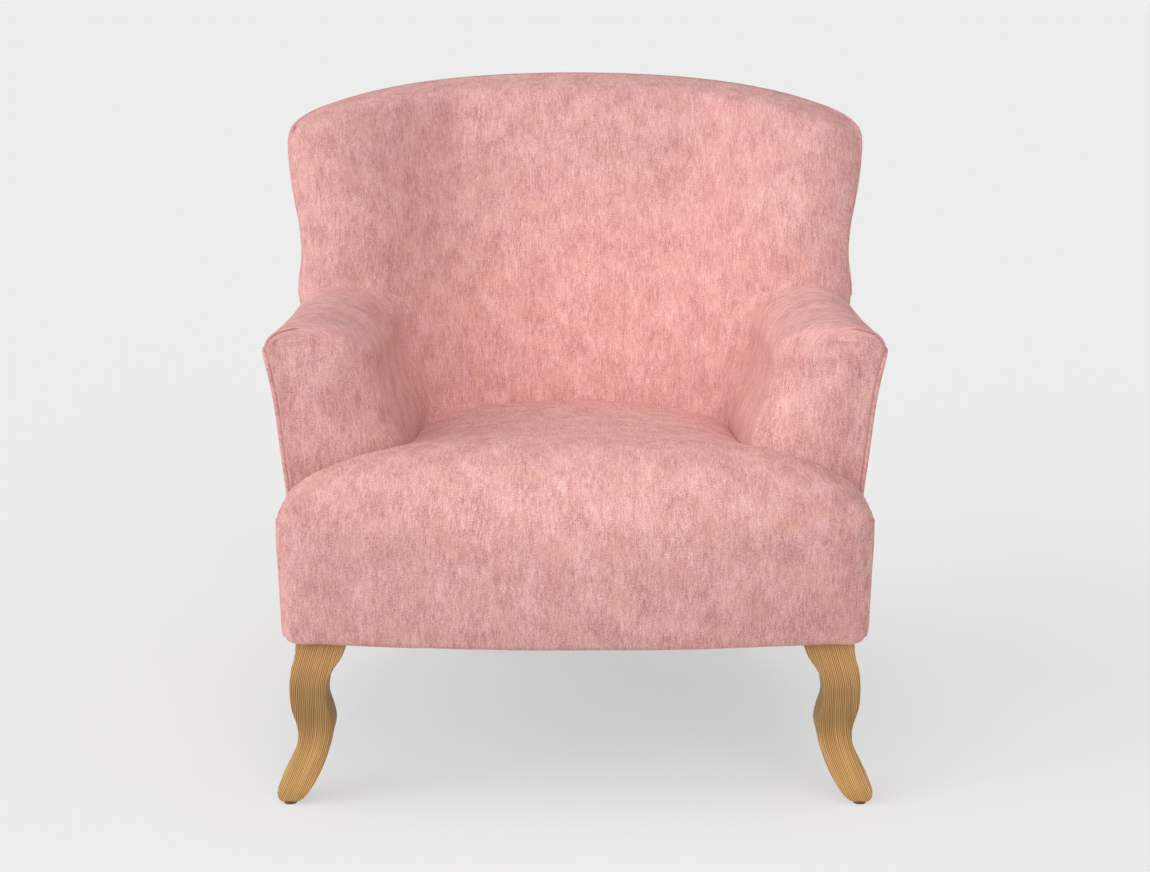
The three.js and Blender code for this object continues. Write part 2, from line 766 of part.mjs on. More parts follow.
function bolt(x, depth, clearance) {
  return rod(x, depth, boltFoot - clearance, boltTop + clearance, boltRadius + clearance);
}

function frontBlock(side) {
  const rear = blockFront + blockSize;
  const body = sideBlock(side, blockInner, sideRailOuter, blockFront, rear, frameFoot, railTop);
  return body.subtract(bolt(side * frontLegX, frontLegDepth, gap));
}

function rearBlock(side) {
  const outer = sideRailOuter - railThickness - gap;
  const body = sideBlock(side, rearBlockInner, outer, rearBlockFront, rearDepthLow, frameFoot, railTop);
  return body.subtract(outsideRear(gap)).subtract(bolt(side * rearLegX, rearLegDepth, gap));
}

// Back frame

const postShares = [0, 0.2, 0.4, 0.55, 0.7, 0.85, 1];

// A raked post that follows the side of the back, standing on the side rail.
function backPost(side, clearance) {
  const rings = postShares.map((share) => {
    const spread = clearance * (2 * share - 1);
    const z = THREE.MathUtils.lerp(padFoot, postTop, share);
    const outer = sideHalfWidth(z) - postOffset + clearance;
    const inner = outer - postWidth - 2 * clearance;
    const front = frontY + seamAt(z) + postLead - clearance;
    const rear = front + postDepth + 2 * clearance;
    const corners = [[inner, front], [outer, front], [outer, rear], [inner, rear]];
    return corners.map(([x, y]) => new THREE.Vector3(side * x, y, z + spread));
  });
  return loft(rings).subtract(outsideRear(gap - clearance));
}

// A curved rail just inside the outer face of the back, behind the webbing.
function backRail(reach, footAt, height, clearance) {
  const steps = 14;
  const front = frameZone - strapThickness - 2 * gap + clearance;
  const rings = spread(reach + clearance, steps).map((x) => {
    const foot = footAt(x) - clearance;
    const top = footAt(x) + height + clearance;
    const corner = (z, inset) => new THREE.Vector3(x, frontY + rearFaceAt(x, z) - inset, z);
    return [corner(foot, front), corner(top, front), corner(top, 0), corner(foot, 0)];
  });
  let rail = loft(rings).subtract(outsideRear(gap - clearance));
  if (clearance === 0) for (const x of strapPlaces) rail = rail.subtract(strap(x, gap));
  return rail;
}

// Arched, on top of the posts.
function topRail(clearance) {
  const foot = (x) => archHeight(x) - topRailDrop - topRailHeight;
  return backRail(backHalfWidth - postOffset, foot, topRailHeight, clearance);
}

// Level, between the posts, where the webbing is tacked.
function tackRail(clearance) {
  const reach = sideHalfWidth(tackHeight) - postOffset - postWidth - gap;
  return backRail(reach, () => tackHeight, tackRailHeight, clearance);
}

const strapPlaces = [-strapPitch, 0, strapPitch];

function strap(x, clearance) {
  const rows = 6;
  const top = archHeight(x) - topRailDrop;
  const half = strapWidth / 2 + clearance;
  const face = (inset) => Array.from({ length: rows + 1 }, (_, i) => {
    const z = THREE.MathUtils.lerp(tackHeight - clearance, top + clearance, i / rows);
    return [-1, 0, 1].map((s) => (
      new THREE.Vector3(x + s * half, frontY + rearFaceAt(x + s * half, z) - inset, z)
    ));
  });
  const front = frameZone - gap;
  return sheet(face(front + clearance), face(front - strapThickness - clearance));
}

// The foam lies against the cover and ends short of its rolled edges.
function backFoam() {
  const edge = mirrored(frontColumnShares).filter((share) => share < -foamWidthShare).length;
  const front = offsetGrid(frontGrid(), -coverThickness - gap)
    .slice(0, frontRowShares.length - 1)
    .map((row) => row.slice(edge, row.length - edge));
  const rear = front.map((row) => row.map((p) => {
    const depth = frontY + rearFaceAt(p.x, p.z) - frameZone + strapThickness / 2;
    return new THREE.Vector3(p.x, Math.max(p.y + foamLeast, depth), p.z);
  }));
  let body = sheet(front, rear).subtract(topRail(gap)).subtract(tackRail(gap));
  for (const x of strapPlaces) body = body.subtract(strap(x, gap));
  for (const side of [-1, 1]) body = fittedRoundArmFrame(body.subtract(backPost(side, gap)), side);
  return body;
}

// Arm frame

function armPost(side, clearance) {
  const outer = sideRailOuter + clearance;
  const rear = armPostFront + armPostDepth + clearance;
  return sideBlock(
    side, outer - railThickness - 2 * clearance, outer,
    armPostFront - clearance, rear, padFoot, armRailTop - armRailHeight - gap,
  );
}

function armRail(side, clearance) {
  const rear = seamDepth + postLead - gap + clearance;
  return sideBlock(
    side, armRailOuter - railThickness - clearance, armRailOuter + clearance,
    armPostFront - clearance, rear, armRailTop - armRailHeight - clearance, armRailTop + clearance,
  );
}

function armTackRail(side, clearance) {
  const front = armPostFront + armPostDepth + gap - clearance;
  const rear = seamDepth + postLead - gap + clearance;
  return sideBlock(
    side, sideRailOuter - railThickness - clearance, sideRailOuter + clearance,
    front, rear, tackHeight - clearance, tackHeight + tackRailHeight + clearance,
  );
}

function fittedRoundArmFrame(body, side) {
  return body.subtract(armRail(side, gap)).subtract(armTackRail(side, gap));
}

// Springs: wire bent to and fro between the front and rear rails.
function seatSpring(x) {
  const front = blockFront + hessianSet;
  const rear = rearFaceAt(x, frameFoot) - panelThickness - railThickness;
  const bends = 2 * springLoops;
  const points = [];
  for (let k = 0; k <= bends; k++) {
    for (const lead of [-bendShare, bendShare]) {
      const share = THREE.MathUtils.clamp((k + lead) / bends, 0, 1);
      const swing = k === 0 || k === bends ? 0 : springHalfLoop * (k % 2 ? 1 : -1);
      points.push(new THREE.Vector3(
        x + swing,
        frontY + THREE.MathUtils.lerp(front, rear, share),
        springAxis + springRise * Math.sin(Math.PI * share),
      ));
    }
  }
  const wire = points.filter((p, k) => k === 0 || p.distanceTo(points[k - 1]) > wireRadius);
  const sides = 4;
  return tube(wire, wireRadius, sides, 3 * bends);
}

// Legs

function legSide(shares, axis) {
  const steps = 18;
  return Array.from({ length: steps + 1 }, (_, k) => {
    const height = k / steps;
    const z = THREE.MathUtils.lerp(glideHeight + gap, legHeight, height);
    return [axis + footReach * through(shares, height), z];
  });
}

// The same S profile sawn through both faces of a square blank.
function frontLeg(side) {
  const blank = footReach * 4;
  const outline = (axis) => [...legSide(legOuterShares, axis), ...legSide(legInnerShares, axis).reverse()];
  const cut = (points) => new THREE.ExtrudeGeometry(
    new THREE.Shape(points.map(([a, z]) => new THREE.Vector2(a, z))),
    { depth: blank, bevelEnabled: false },
  );
  const middle = frontY + frontLegDepth;
  const face = cut(outline(0).map(([a, z]) => [side * (frontLegX + a), z]));
  face.rotateX(Math.PI / 2);
  face.translate(0, middle + blank / 2, 0);
  const flank = cut(outline(0).map(([a, z]) => [a, z]));
  flank.rotateX(Math.PI / 2);
  flank.rotateZ(-Math.PI / 2);
  flank.translate(side * frontLegX + blank / 2, middle, 0);
  return solidFrom(face).intersect(solidFrom(flank)).subtract(bolt(side * frontLegX, frontLegDepth, gap));
}

function rearLeg(side) {
  const rings = [0, 1 / 2, 1].map((share) => {
    const z = THREE.MathUtils.lerp(glideHeight + gap, legHeight, share);
    const half = THREE.MathUtils.lerp(rearLegFoot, rearLegTop, share) / 2;
    const y = frontY + rearLegDepth + rearLegRake * (1 - share) ** rearLegBendShare;
    return [[-1, -1], [1, -1], [1, 1], [-1, 1]].map(([a, b]) => (
      new THREE.Vector3(side * rearLegX + a * half, y + b * half, z)
    ));
  });
  return loft(rings).subtract(bolt(side * rearLegX, rearLegDepth, gap));
}

function glide(x, depth) {
  return rod(x, depth, 0, glideHeight, glideRadius);
}

// Lining under the frame, with a hole for each leg bolt.
function dustCover() {
  const steps = 12;
  const half = seatHalfWidth - seatTaper - hemRound;
  const outline = [];
  for (const x of spread(half, steps)) {
    outline.push([x, frontY + seatFront(x, 0) + hemRound + coverThickness]);
  }
  for (let k = 1; k < 2 * steps; k++) {
    const angle = (Math.PI * k) / (2 * steps);
    const reach = rearDepthLow - seamDepth - dustInset;
    outline.push([half * Math.cos(angle), frontY + seamDepth + reach * Math.sin(angle)]);
  }
  let body = prism(outline, legHeight + gap, legHeight + gap + dustThickness);
  for (const side of [-1, 1]) {
    body = body.subtract(bolt(side * frontLegX, frontLegDepth, gap));
    body = body.subtract(bolt(side * rearLegX, rearLegDepth, gap));
  }
  return body;
}

// Piping

const pipingSideShares = [0, 0.12, 0.24, 0.36, 0.48, 0.6, 0.72, 0.84, 0.94];
const pipingArchShares = [0.99, 0.95, 0.88, 0.78, 0.65, 0.5, 0.34, 0.17];
const pipingTuckShare = 8; // power by which it moves to the outside of the corner
const armPipingShares = [0, 0.25, 0.5, 0.75, 0.9, 0.98];
const earPowerShare = 12;
const armPipingRunShares = [0.1, 0.3, 0.6, 0.8, 1];

// Up one side of the back, over the arch and down the other, just outside the seam.
function backPiping() {
  const foot = armSeamHeight + 3 * pipingRadius;
  const sides = pipingSideShares.map((share) => {
    const z = THREE.MathUtils.lerp(foot, cornerHeight, share);
    return new THREE.Vector3(sideHalfWidth(z) + stand, frontY + seamAt(z), z);
  });
  const arch = pipingArchShares.map((share) => {
    const x = share * cornerHalfWidth;
    const fall = archHeight(x) - archHeight(x + pipingRadius);
    const run = new THREE.Vector2(pipingRadius, fall).normalize();
    const lead = stand * (1 - 2 * share ** pipingTuckShare);
    const y = frontY + rearDepth(share, archHeight(x), cornerHeight) - lead;
    return new THREE.Vector3(x + stand * run.y, y, archHeight(x) + stand * run.x);
  });
  const crown = new THREE.Vector3(0, frontY + overallDepth - stand, archHeight(0) + stand);
  const half = [...sides, ...arch];
  const other = half.map((p) => new THREE.Vector3(-p.x, p.y, p.z)).reverse();
  const steps = 64;
  return tube([...half, crown, ...other], pipingRadius, pipingSides, steps);
}

// Up the front edge of the arm, round the ear and back along the outer seam.
function armPiping(side) {
  const front = armFront + stand;
  const upright = armPipingShares.map((share) => {
    const z = THREE.MathUtils.lerp(frameFoot + hemRound, armSeamHeight, share);
    const out = THREE.MathUtils.lerp(-pipingRadius, stand, share ** earPowerShare);
    return [sideHalfWidth(z) + out, front, z];
  });
  const lane = armSeamX + stand;
  const level = armSeamHeight + stand;
  const ear = [
    [lane - pipingRadius / 2, front, level + pipingRadius],
    [lane, front + 2 * stand, level + pipingRadius / 2],
  ];
  const along = armPipingRunShares.map((share) => (
    [lane, THREE.MathUtils.lerp(front, seamDepth - 2 * stand, share), level]
  ));
  const points = [...upright, ...ear, ...along].map(([x, depth, z]) => (
    new THREE.Vector3(side * x, frontY + depth, z)
  ));
  const steps = 34;
  return tube(points, pipingRadius, pipingSides, steps);
}

// Assembly

addPiece('front_seat_rail', frontRail(), beech);
addPiece('rear_seat_rail', rearRail(), beech);
for (const [word, side] of [['left', -1], ['right', 1]]) {
  addPiece(`${word}_side_rail`, sideRail(side), beech);
  addPiece(`${word}_front_corner_block`, frontBlock(side), beech);
  addPiece(`${word}_rear_corner_block`, rearBlock(side), beech);
  addPiece(`${word}_arm_post`, armPost(side, 0), beech);
  addPiece(`${word}_arm_rail`, armRail(side, 0), beech);
  addPiece(`${word}_arm_tack_rail`, armTackRail(side, 0), beech);
  addPiece(`${word}_back_post`, backPost(side, 0), beech);
  addPiece(`${word}_arm_foam`, armFoam(side), foam);
  addPiece(`${word}_arm_cover`, armCover(side), fabric);
  addPiece(`${word}_outside_arm`, outsideArm(side), fabric);
  addPiece(`${word}_arm_piping`, armPiping(side), fabricDeep);
  addPiece(`${word}_front_leg`, frontLeg(side), oak);
  addPiece(`${word}_rear_leg`, rearLeg(side), oak);
  addPiece(`${word}_front_leg_bolt`, bolt(side * frontLegX, frontLegDepth, 0), steel);
  addPiece(`${word}_rear_leg_bolt`, bolt(side * rearLegX, rearLegDepth, 0), steel);
  addPiece(`${word}_front_glide`, glide(side * frontGlideX, frontGlideDepth), nylon);
  addPiece(`${word}_rear_glide`, glide(side * rearLegX, rearLegDepth + rearLegRake), nylon);
}
addPiece('back_top_rail', topRail(0), beech);
addPiece('back_tack_rail', tackRail(0), beech);
strapPlaces.forEach((x, k) => addPiece(`back_webbing_${k + 1}`, strap(x, 0), elastic));
addPiece('back_foam', backFoam(), foam);
let innerBack = insideBackCover();
for (const side of [-1, 1]) innerBack = fittedRoundArmFrame(innerBack, side);
addPiece('inside_back_cover', innerBack, fabric);
addPiece('outside_back', outsideBack(), fabric);
addPiece('back_piping', backPiping(), fabricDeep);
springPlaces.forEach((x, k) => addPiece(`seat_spring_${k + 1}`, seatSpring(x), steel));
addPiece('seat_hessian', hessian(0), jute);
addPiece('seat_foam', seatFoam(), foam);
addPiece('seat_cover', seatCover(), fabric);
addPiece('dust_cover', dustCover(), lining);

export default chair;
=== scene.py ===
import math
from functools import partial

import bmesh
import bpy
import numpy as np
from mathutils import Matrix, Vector, noise


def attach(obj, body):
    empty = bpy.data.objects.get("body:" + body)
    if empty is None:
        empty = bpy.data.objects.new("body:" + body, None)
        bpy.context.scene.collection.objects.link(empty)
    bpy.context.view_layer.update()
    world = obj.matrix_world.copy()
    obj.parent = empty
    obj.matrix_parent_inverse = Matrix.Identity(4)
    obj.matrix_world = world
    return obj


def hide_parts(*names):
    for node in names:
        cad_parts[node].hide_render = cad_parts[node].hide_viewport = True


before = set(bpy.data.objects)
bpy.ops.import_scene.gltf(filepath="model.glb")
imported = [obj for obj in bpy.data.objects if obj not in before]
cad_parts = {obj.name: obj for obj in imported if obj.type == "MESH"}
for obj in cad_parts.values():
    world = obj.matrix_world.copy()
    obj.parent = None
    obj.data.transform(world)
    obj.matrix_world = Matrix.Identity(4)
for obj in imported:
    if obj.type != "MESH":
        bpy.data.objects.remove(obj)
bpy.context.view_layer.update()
scene = bpy.context.scene
print("frame:", len(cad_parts), "nodes")


def inScene(name, data):
    thing = bpy.data.objects.new(name, data)
    scene.collection.objects.link(thing)
    return thing


# camera, in metres: straight on, a little above the arms, looking down
view = {"distance": 2.58, "height": 0.95, "pitch": 12.5, "lens": 61.04, "sensor": 36}
cameraData = bpy.data.cameras.new("camera")
cameraData.lens = view["lens"]
cameraData.sensor_width = view["sensor"]
camera = inScene("camera", cameraData)
camera.location = (0, -view["distance"], view["height"])
camera.rotation_euler = (math.radians(90 - view["pitch"]), 0, 0)
scene.camera = camera
scene.view_settings.view_transform = "Standard"
scene.view_settings.look = "None"

# the chair's own sizes in millimetres, depths measured back from its front plane
whole = {
    "depth": 760, "half": 395, "foot": 202.1, "padFoot": 282.4, "corner": 782, "cornerHalf": 393,
    "archRise": 67.5, "archPower": 2.3, "archCurve": 0.6, "gap": 0.3,
    "sides": [  # share of the corner's height, share of the half width there
        (0.26, 0.868), (0.46, 0.893), (0.56, 0.914), (0.6, 0.921), (0.64, 0.933), (0.682, 0.95),
        (0.705, 0.955), (0.73, 0.953), (0.77, 0.944), (0.82, 0.953), (0.86, 0.97), (0.9, 0.986),
        (0.94, 0.998), (0.965, 1.004), (0.985, 1.005), (1.0, 0.996),
    ],
    "seam": 445, "seamSweep": 95, "seamTurn": 540, "seamCurve": 1.5,
}
bothSides = ((-1, "left"), (1, "right"))


# curves

def smooth(share):
    t = np.clip(share, 0, 1)
    return t * t * (3 - 2 * t)


def ease(value, start, run):  # rises smoothly from 0 to 1
    return smooth((value - start) / run)


def steps(count, end=1):
    return np.linspace(0, end, count)


def quarter(share):
    return np.sqrt(1 - np.clip(share, 0, 1) ** 2)


def mix(a, b, share):
    return a + (b - a) * share


def through(table, place):  # a smooth curve through the pairs of a table
    x, y = np.array(table, float).T
    slope = joined([(y[1] - y[0]) / (x[1] - x[0])], (y[2:] - y[:-2]) / (x[2:] - x[:-2]),
                   [(y[-1] - y[-2]) / (x[-1] - x[-2])])
    place = np.asarray(place, float)
    i = np.clip(np.searchsorted(x, place) - 1, 0, len(x) - 2)
    width = x[i + 1] - x[i]
    t = np.clip((place - x[i]) / width, 0, 1)
    return (y[i] * (1 + 2 * t) * (1 - t) ** 2 + slope[i] * width * t * (1 - t) ** 2
            + y[i + 1] * t * t * (3 - 2 * t) - slope[i + 1] * width * t * t * (1 - t))


def sideHalf(z):  # half the width of the chair at a height
    return whole["half"] * through(whole["sides"], np.minimum(np.asarray(z, float) / whole["corner"], 1))


def archHeight(x):  # height of the upper edge of the back
    s = np.minimum(np.abs(x) / whole["cornerHalf"], 1)
    return whole["corner"] + whole["archRise"] * (1 - s ** whole["archPower"]) ** whole["archCurve"]


def seamAt(z):  # depth of the seam down the side of the back
    t = np.clip((z - whole["seamTurn"]) / (whole["corner"] - whole["seamTurn"]), 0, 1)
    return whole["seam"] + whole["seamSweep"] * t ** whole["seamCurve"]


def inMetres(x, depth, z):
    x, depth, z = np.broadcast_arrays(x, depth, z)
    return np.stack([x, depth - whole["depth"] / 2, z], axis=-1) / 1000


def joined(*parts):
    return np.concatenate(parts)


def mirrored(half):
    return joined(-half[::-1], half[1:])


def crowdedStart(count, power):  # shares from 0 to 1, closer together at 0
    return steps(count) ** power


def crowdedEnd(count, power):
    return 1 - (1 - steps(count)) ** power


def along(points):  # length of each row of points from its start
    spans = np.linalg.norm(np.diff(points, axis=-2), axis=-1)
    return np.concatenate([np.zeros(spans.shape[:-1] + (1,)), np.cumsum(spans, axis=-1)], axis=-1)


def leftOf(run):  # what lies to the left of each step along a flat line, one unit away
    return np.stack([-run[:, 1], run[:, 0]], axis=1) / np.linalg.norm(run, axis=1, keepdims=True)


def evenly(line, place, count):  # the same line at even steps of its length, which place gives
    wanted = np.linspace(0, place[-1], count)
    return np.stack([np.interp(wanted, place, values) for values in line.T], axis=1)


# meshes: a patch is a grid of points with the place of each point on the cloth, in metres

def clothPlace(across, up):
    return np.stack(np.broadcast_arrays(across, up), axis=-1)


def clothOn(points, middle):  # lengths across and up a grid, straight on its middle column
    across = along(points)
    up = along(points.transpose(1, 0, 2)).T
    return clothPlace(across - across[:, [middle]], up[:, [middle]] * 0.5 + up * 0.5)


def pieceOf(name, work):
    mesh = bpy.data.meshes.new(name)
    work.to_mesh(mesh)
    work.free()
    return inScene(name, mesh)


def meshOf(name, patches, weld=0.0002):
    work = bmesh.new()
    napLayer = work.loops.layers.float_vector.new("nap")
    for points, nap in patches:
        rows, columns = points.shape[:2]
        corners = [[work.verts.new(points[i, j]) for j in range(columns)] for i in range(rows)]
        for i in range(rows - 1):
            for j in range(columns - 1):
                at = [(i, j), (i, j + 1), (i + 1, j + 1), (i + 1, j)]
                face = work.faces.new([corners[a][b] for a, b in at])
                for loop, (a, b) in zip(face.loops, at):
                    loop[napLayer] = (*nap[a, b], 0)
    bmesh.ops.remove_doubles(work, verts=work.verts, dist=weld)
    bmesh.ops.dissolve_degenerate(work, edges=work.edges, dist=weld / 10)
    return pieceOf(name, work)


def coordsOf(piece):
    coords = np.empty(len(piece.data.vertices) * 3)
    piece.data.vertices.foreach_get("co", coords)
    return coords.reshape(-1, 3)


def setCoords(piece, coords):
    piece.data.vertices.foreach_set("co", coords.ravel())
    piece.data.update()


def placesOf(piece):  # x, depth and height of each vertex in millimetres
    x, y, z = coordsOf(piece).T * 1000
    return x, y + whole["depth"] / 2, z


def setAll(thing, settings):
    for key, value in settings.items():
        setattr(thing, key, value)


def withModifier(piece, kind, settings):  # adds a modifier and applies it
    setAll(piece.modifiers.new(kind.lower(), kind), settings)
    depsgraph = bpy.context.evaluated_depsgraph_get()
    mesh = bpy.data.meshes.new_from_object(piece.evaluated_get(depsgraph), preserve_all_data_layers=True,
                                           depsgraph=depsgraph)
    piece.modifiers.clear()
    old = piece.data
    piece.data = mesh
    bpy.data.meshes.remove(old)
    mesh.name = piece.name


# covers

stuffing = {
    "frames": 20,
    "cloth": {"quality": 6, "mass": 0.3, "tension_stiffness": 20, "compression_stiffness": 20,
              "shear_stiffness": 8, "bending_stiffness": 2},
}


# blows a stitched sheet up, as stuffing does, and limits how far it moves; its edges and what is tight
# stay where they are
def stuff(piece, facts, tight=()):
    rest = coordsOf(piece)
    work = bmesh.new()
    work.from_mesh(piece.data)
    held = {v.index for v in work.verts if v.is_boundary} | {int(i) for i in np.flatnonzero(tight)}
    work.free()
    piece.vertex_groups.new(name="held").add(list(held), 1.0, "REPLACE")
    modifier = piece.modifiers.new("cloth", "CLOTH")
    setAll(modifier.settings, {
        **stuffing["cloth"], "use_pressure": True, "uniform_pressure_force": facts["pressure"],
        "vertex_group_mass": "held",
    })
    modifier.settings.effector_weights.gravity = 0
    modifier.collision_settings.use_collision = False
    setAll(modifier.point_cache, {"frame_start": 1, "frame_end": stuffing["frames"]})
    for number in range(1, stuffing["frames"] + 1):
        scene.frame_set(number)
    result = piece.evaluated_get(bpy.context.evaluated_depsgraph_get())
    moved = np.empty(rest.size)
    result.data.vertices.foreach_get("co", moved)
    piece.modifiers.clear()
    piece.vertex_groups.clear()
    scene.frame_set(1)
    shift = moved.reshape(-1, 3) - rest
    length = np.linalg.norm(shift, axis=1, keepdims=True)
    limit = facts["limit"]
    setCoords(piece, rest + shift * np.tanh(length / limit) * limit / np.maximum(length, 1e-9))
    print("stuffed", piece.name)


def raiseBy(piece, lift):  # moves each vertex along its normal
    normals = np.empty(len(piece.data.vertices) * 3, np.float32)
    piece.data.vertex_normals.foreach_get("vector", normals)
    setCoords(piece, coordsOf(piece) + normals.reshape(-1, 3).astype(float) * lift[:, None])


def uneven(piece, height, pitch, seed):  # low rises and hollows of hand filled padding
    offset = Vector((seed * 3.7, seed * 1.3, seed * 2.1))
    lift = [noise.noise(Vector(p) / pitch + offset) + 0.5 * noise.noise(Vector(p) * 2.3 / pitch + offset)
            for p in coordsOf(piece)]
    raiseBy(piece, np.array(lift) * height)


# rounds a cover, gives it its folds (a lift for each x, depth and height, in millimetres), its unevenness
# and the thickness of its cloth
def skin(piece, thickness, rises, foldsAt=None):
    withModifier(piece, "SUBSURF", {"levels": 1, "render_levels": 1, "boundary_smooth": "PRESERVE_CORNERS"})
    if foldsAt:
        raiseBy(piece, foldsAt(*placesOf(piece)) / 1000)
    uneven(piece, *rises)
    withModifier(piece, "SOLIDIFY", {"thickness": thickness / 1000, "offset": -1.0})


def hump(distance, width):
    return np.exp(-(distance / width) ** 2)


def dress(piece, slot, material, *nodes):
    piece.data.materials.clear()
    piece.data.materials.append(material)
    for polygon in piece.data.polygons:
        polygon.use_smooth = True
    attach(piece, "root")
    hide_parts(*nodes)


def pad(piece, fill, *nodes):
    dress(piece, "cover_velvet", coverVelvet, *nodes)


# materials

def linear(tone):  # sRGB hex to linear; a number is a grey that is linear already
    if not isinstance(tone, str):
        return (tone, tone, tone, 1.0)
    values = [int(tone[i:i + 2], 16) / 255 for i in (1, 3, 5)]
    return (*[v / 12.92 if v <= 0.04045 else ((v + 0.055) / 1.055) ** 2.4 for v in values], 1.0)


def addNode(tree, kind, settings=None, links=None):
    node = tree.nodes.new("ShaderNode" + kind)
    for key, value in (settings or {}).items():
        if key == "stops":  # of a colour ramp
            elements = node.color_ramp.elements
            while len(elements) < len(value):
                elements.new(0.5)
            for element, (place, colour) in zip(elements, value):
                element.position = place
                element.color = linear(colour)
        elif isinstance(key, str) and hasattr(node, key):
            setattr(node, key, value)
        else:
            node.inputs[key].default_value = linear(value) if isinstance(value, str) else value
    for key, source in (links or {}).items():  # a source is a socket, or a node for its first one
        tree.links.new(getattr(source, "outputs", [source])[0], node.inputs[key])
    return node


def emptied(owner):  # a material or world, and what adds a node to it
    owner.use_nodes = True
    owner.node_tree.nodes.clear()
    return owner, partial(addNode, owner.node_tree)


def surface(add, settings, links):
    add("OutputMaterial", None, {"Surface": add("BsdfPrincipled", settings, links)})


# Crushed chenille velvet, woven with a short pile and brushed. The pile lies in soft blotches, darker
# where it is pressed, over fine upright streaks, and catches a little light at grazing angles.
velvetLook = {
    "pile": [(0, "#ab7673"), (0.5, "#c99591"), (1, "#dbafab")],  # pressed, brushed, standing
    "layers": [  # size across and along the nap in metres, detail, roughness, weight
        (0.034, 0.046, 3, 0.55, 1.0), (0.0095, 0.030, 2, 0.6, 0.7), (0.0038, 0.021, 2, 0.6, 0.88),
        (0.0020, 0.0095, 2, 0.6, 1.22), (0.0017, 0.0018, 2, 0.75, 2.4),  # the last coarser than the tufts are
    ],
    "warm": "#ce9b89", "warmLayer": (0.034, 0.034, 3, 0.5), "warmth": [(0.5, 0), (0.72, 0.4)],
    "bump": {"Strength": 0.35, "Distance": 0.0009},
    "shader": {"Roughness": 0.92, "IOR": 1.45, "Specular IOR Level": 0.22, "Sheen Weight": 0.14,
               "Sheen Roughness": 0.45, "Sheen Tint": "#f4c8c0"},
}


def velvet(name, look, shift=0.0):
    material, add = emptied(bpy.data.materials.new(name))
    nap = add("Attribute", {"attribute_name": "nap"}).outputs["Vector"]

    def cloud(across, length, detail, roughness, offset):
        scaled = add("VectorMath", {"operation": "MULTIPLY", 1: (1 / across, 1 / length, 1)}, {0: nap})
        placed = add("VectorMath", {"operation": "ADD", 1: (offset, offset / 2, shift)}, {0: scaled})
        return add("TexNoise", {"Scale": 1, "Detail": detail, "Roughness": roughness}, {"Vector": placed})

    total = None
    for number, (*size, weight) in enumerate(look["layers"]):
        layer = cloud(*size, 3.1 + 17 * number)
        centred = add("Math", {"operation": "SUBTRACT", 1: 0.5}, {0: layer})
        sources = {0: centred} if total is None else {0: centred, 2: total}
        total = add("Math", {"operation": "MULTIPLY_ADD", 1: weight, 2: 0.5}, sources)
    pile = add("ValToRGB", {"stops": look["pile"]}, {0: total})
    warmth = add("ValToRGB", {"stops": look["warmth"]}, {0: cloud(*look["warmLayer"], 77.0)})
    colour = add("Mix", {"data_type": "RGBA", 7: look["warm"]}, {0: warmth, 6: pile})
    bump = add("Bump", look["bump"], {"Height": layer})
    surface(add, look["shader"], {"Base Color": colour.outputs[2], "Normal": bump})
    return material


# Oiled oak, band sawn and sanded: straight open grain that runs with the leg, with short dark pores,
# painted shade that darkens the leg around the knee, and a satin surface.
oakLook = {
    "wood": [(0.32, "#8f6835"), (0.47, "#b78a51"), (0.66, "#d1a46b")], "height": 0.2, "faceShift": 0.4,
    # width and length in metres; one line of the wave is one year's growth
    "line": (0.0023, 0.35), "wander": 4.0, "lineShare": 0.35,
    "streak": (0.0016, 0.16, 3), "ring": (0.012, 0.3, 2), "pore": (0.0006, 0.012, 2),  # and the detail
    "tones": [(0.3, 0.86), (0.7, 1.06)], "pores": [(0.60, 1), (0.74, 0.72)],
    # the height table paints shade on the leg, darkest around the knee
    "paintedKneeShade": [(0, 1.02), (0.3, 0.98), (0.52, 0.7), (0.7, 0.69), (0.86, 0.94), (1, 1.01)],  # up the leg
    "bump": {"Strength": 0.25, "Distance": 0.0003},
    "shader": {"Roughness": 0.55, "IOR": 1.47, "Specular IOR Level": 0.3},
}


def oak(name, look):
    material, add = emptied(bpy.data.materials.new(name))
    grain = add("Attribute", {"attribute_name": "grain"}).outputs["Vector"]

    def scaled(across, length):
        size = (1 / across, 1 / across, 1 / length)
        return add("VectorMath", {"operation": "MULTIPLY", 1: size}, {0: grain})

    def bands(across, length, detail):
        return add("TexNoise", {"Scale": 1, "Detail": detail, "Roughness": 0.55},
                   {"Vector": scaled(across, length)})

    wave = add("TexWave", {"Scale": math.pi / 10, "Distortion": look["wander"], "Detail": 2},
               {"Vector": scaled(*look["line"])}).outputs[1]
    streak, ring, pore = (bands(*look[key]) for key in ("streak", "ring", "pore"))
    thin = add("Math", {"operation": "MULTIPLY", 1: look["lineShare"]}, {0: wave})
    line = add("Math", {"operation": "MULTIPLY_ADD", 1: 1 - look["lineShare"]}, {0: streak, 2: thin})
    colour = add("ValToRGB", {"stops": look["wood"]}, {0: line})
    rise = add("SeparateXYZ", None, {0: grain}).outputs["Z"]
    share = add("Math", {"operation": "DIVIDE", 1: look["height"]}, {0: rise})
    # ring tones, painted shade around the knee taken from the height, and pores darken the wood in turn
    for source, table in ((ring, look["tones"]), (share, look["paintedKneeShade"]), (pore, look["pores"])):
        tone = add("ValToRGB", {"stops": table}, {0: source})
        colour = add("Mix", {"data_type": "RGBA", "blend_type": "MULTIPLY", 0: 1.0},
                     {6: colour, 7: tone}).outputs[2]
    bump = add("Bump", look["bump"], {"Height": pore})
    surface(add, look["shader"], {"Base Color": colour, "Normal": bump})
    return material


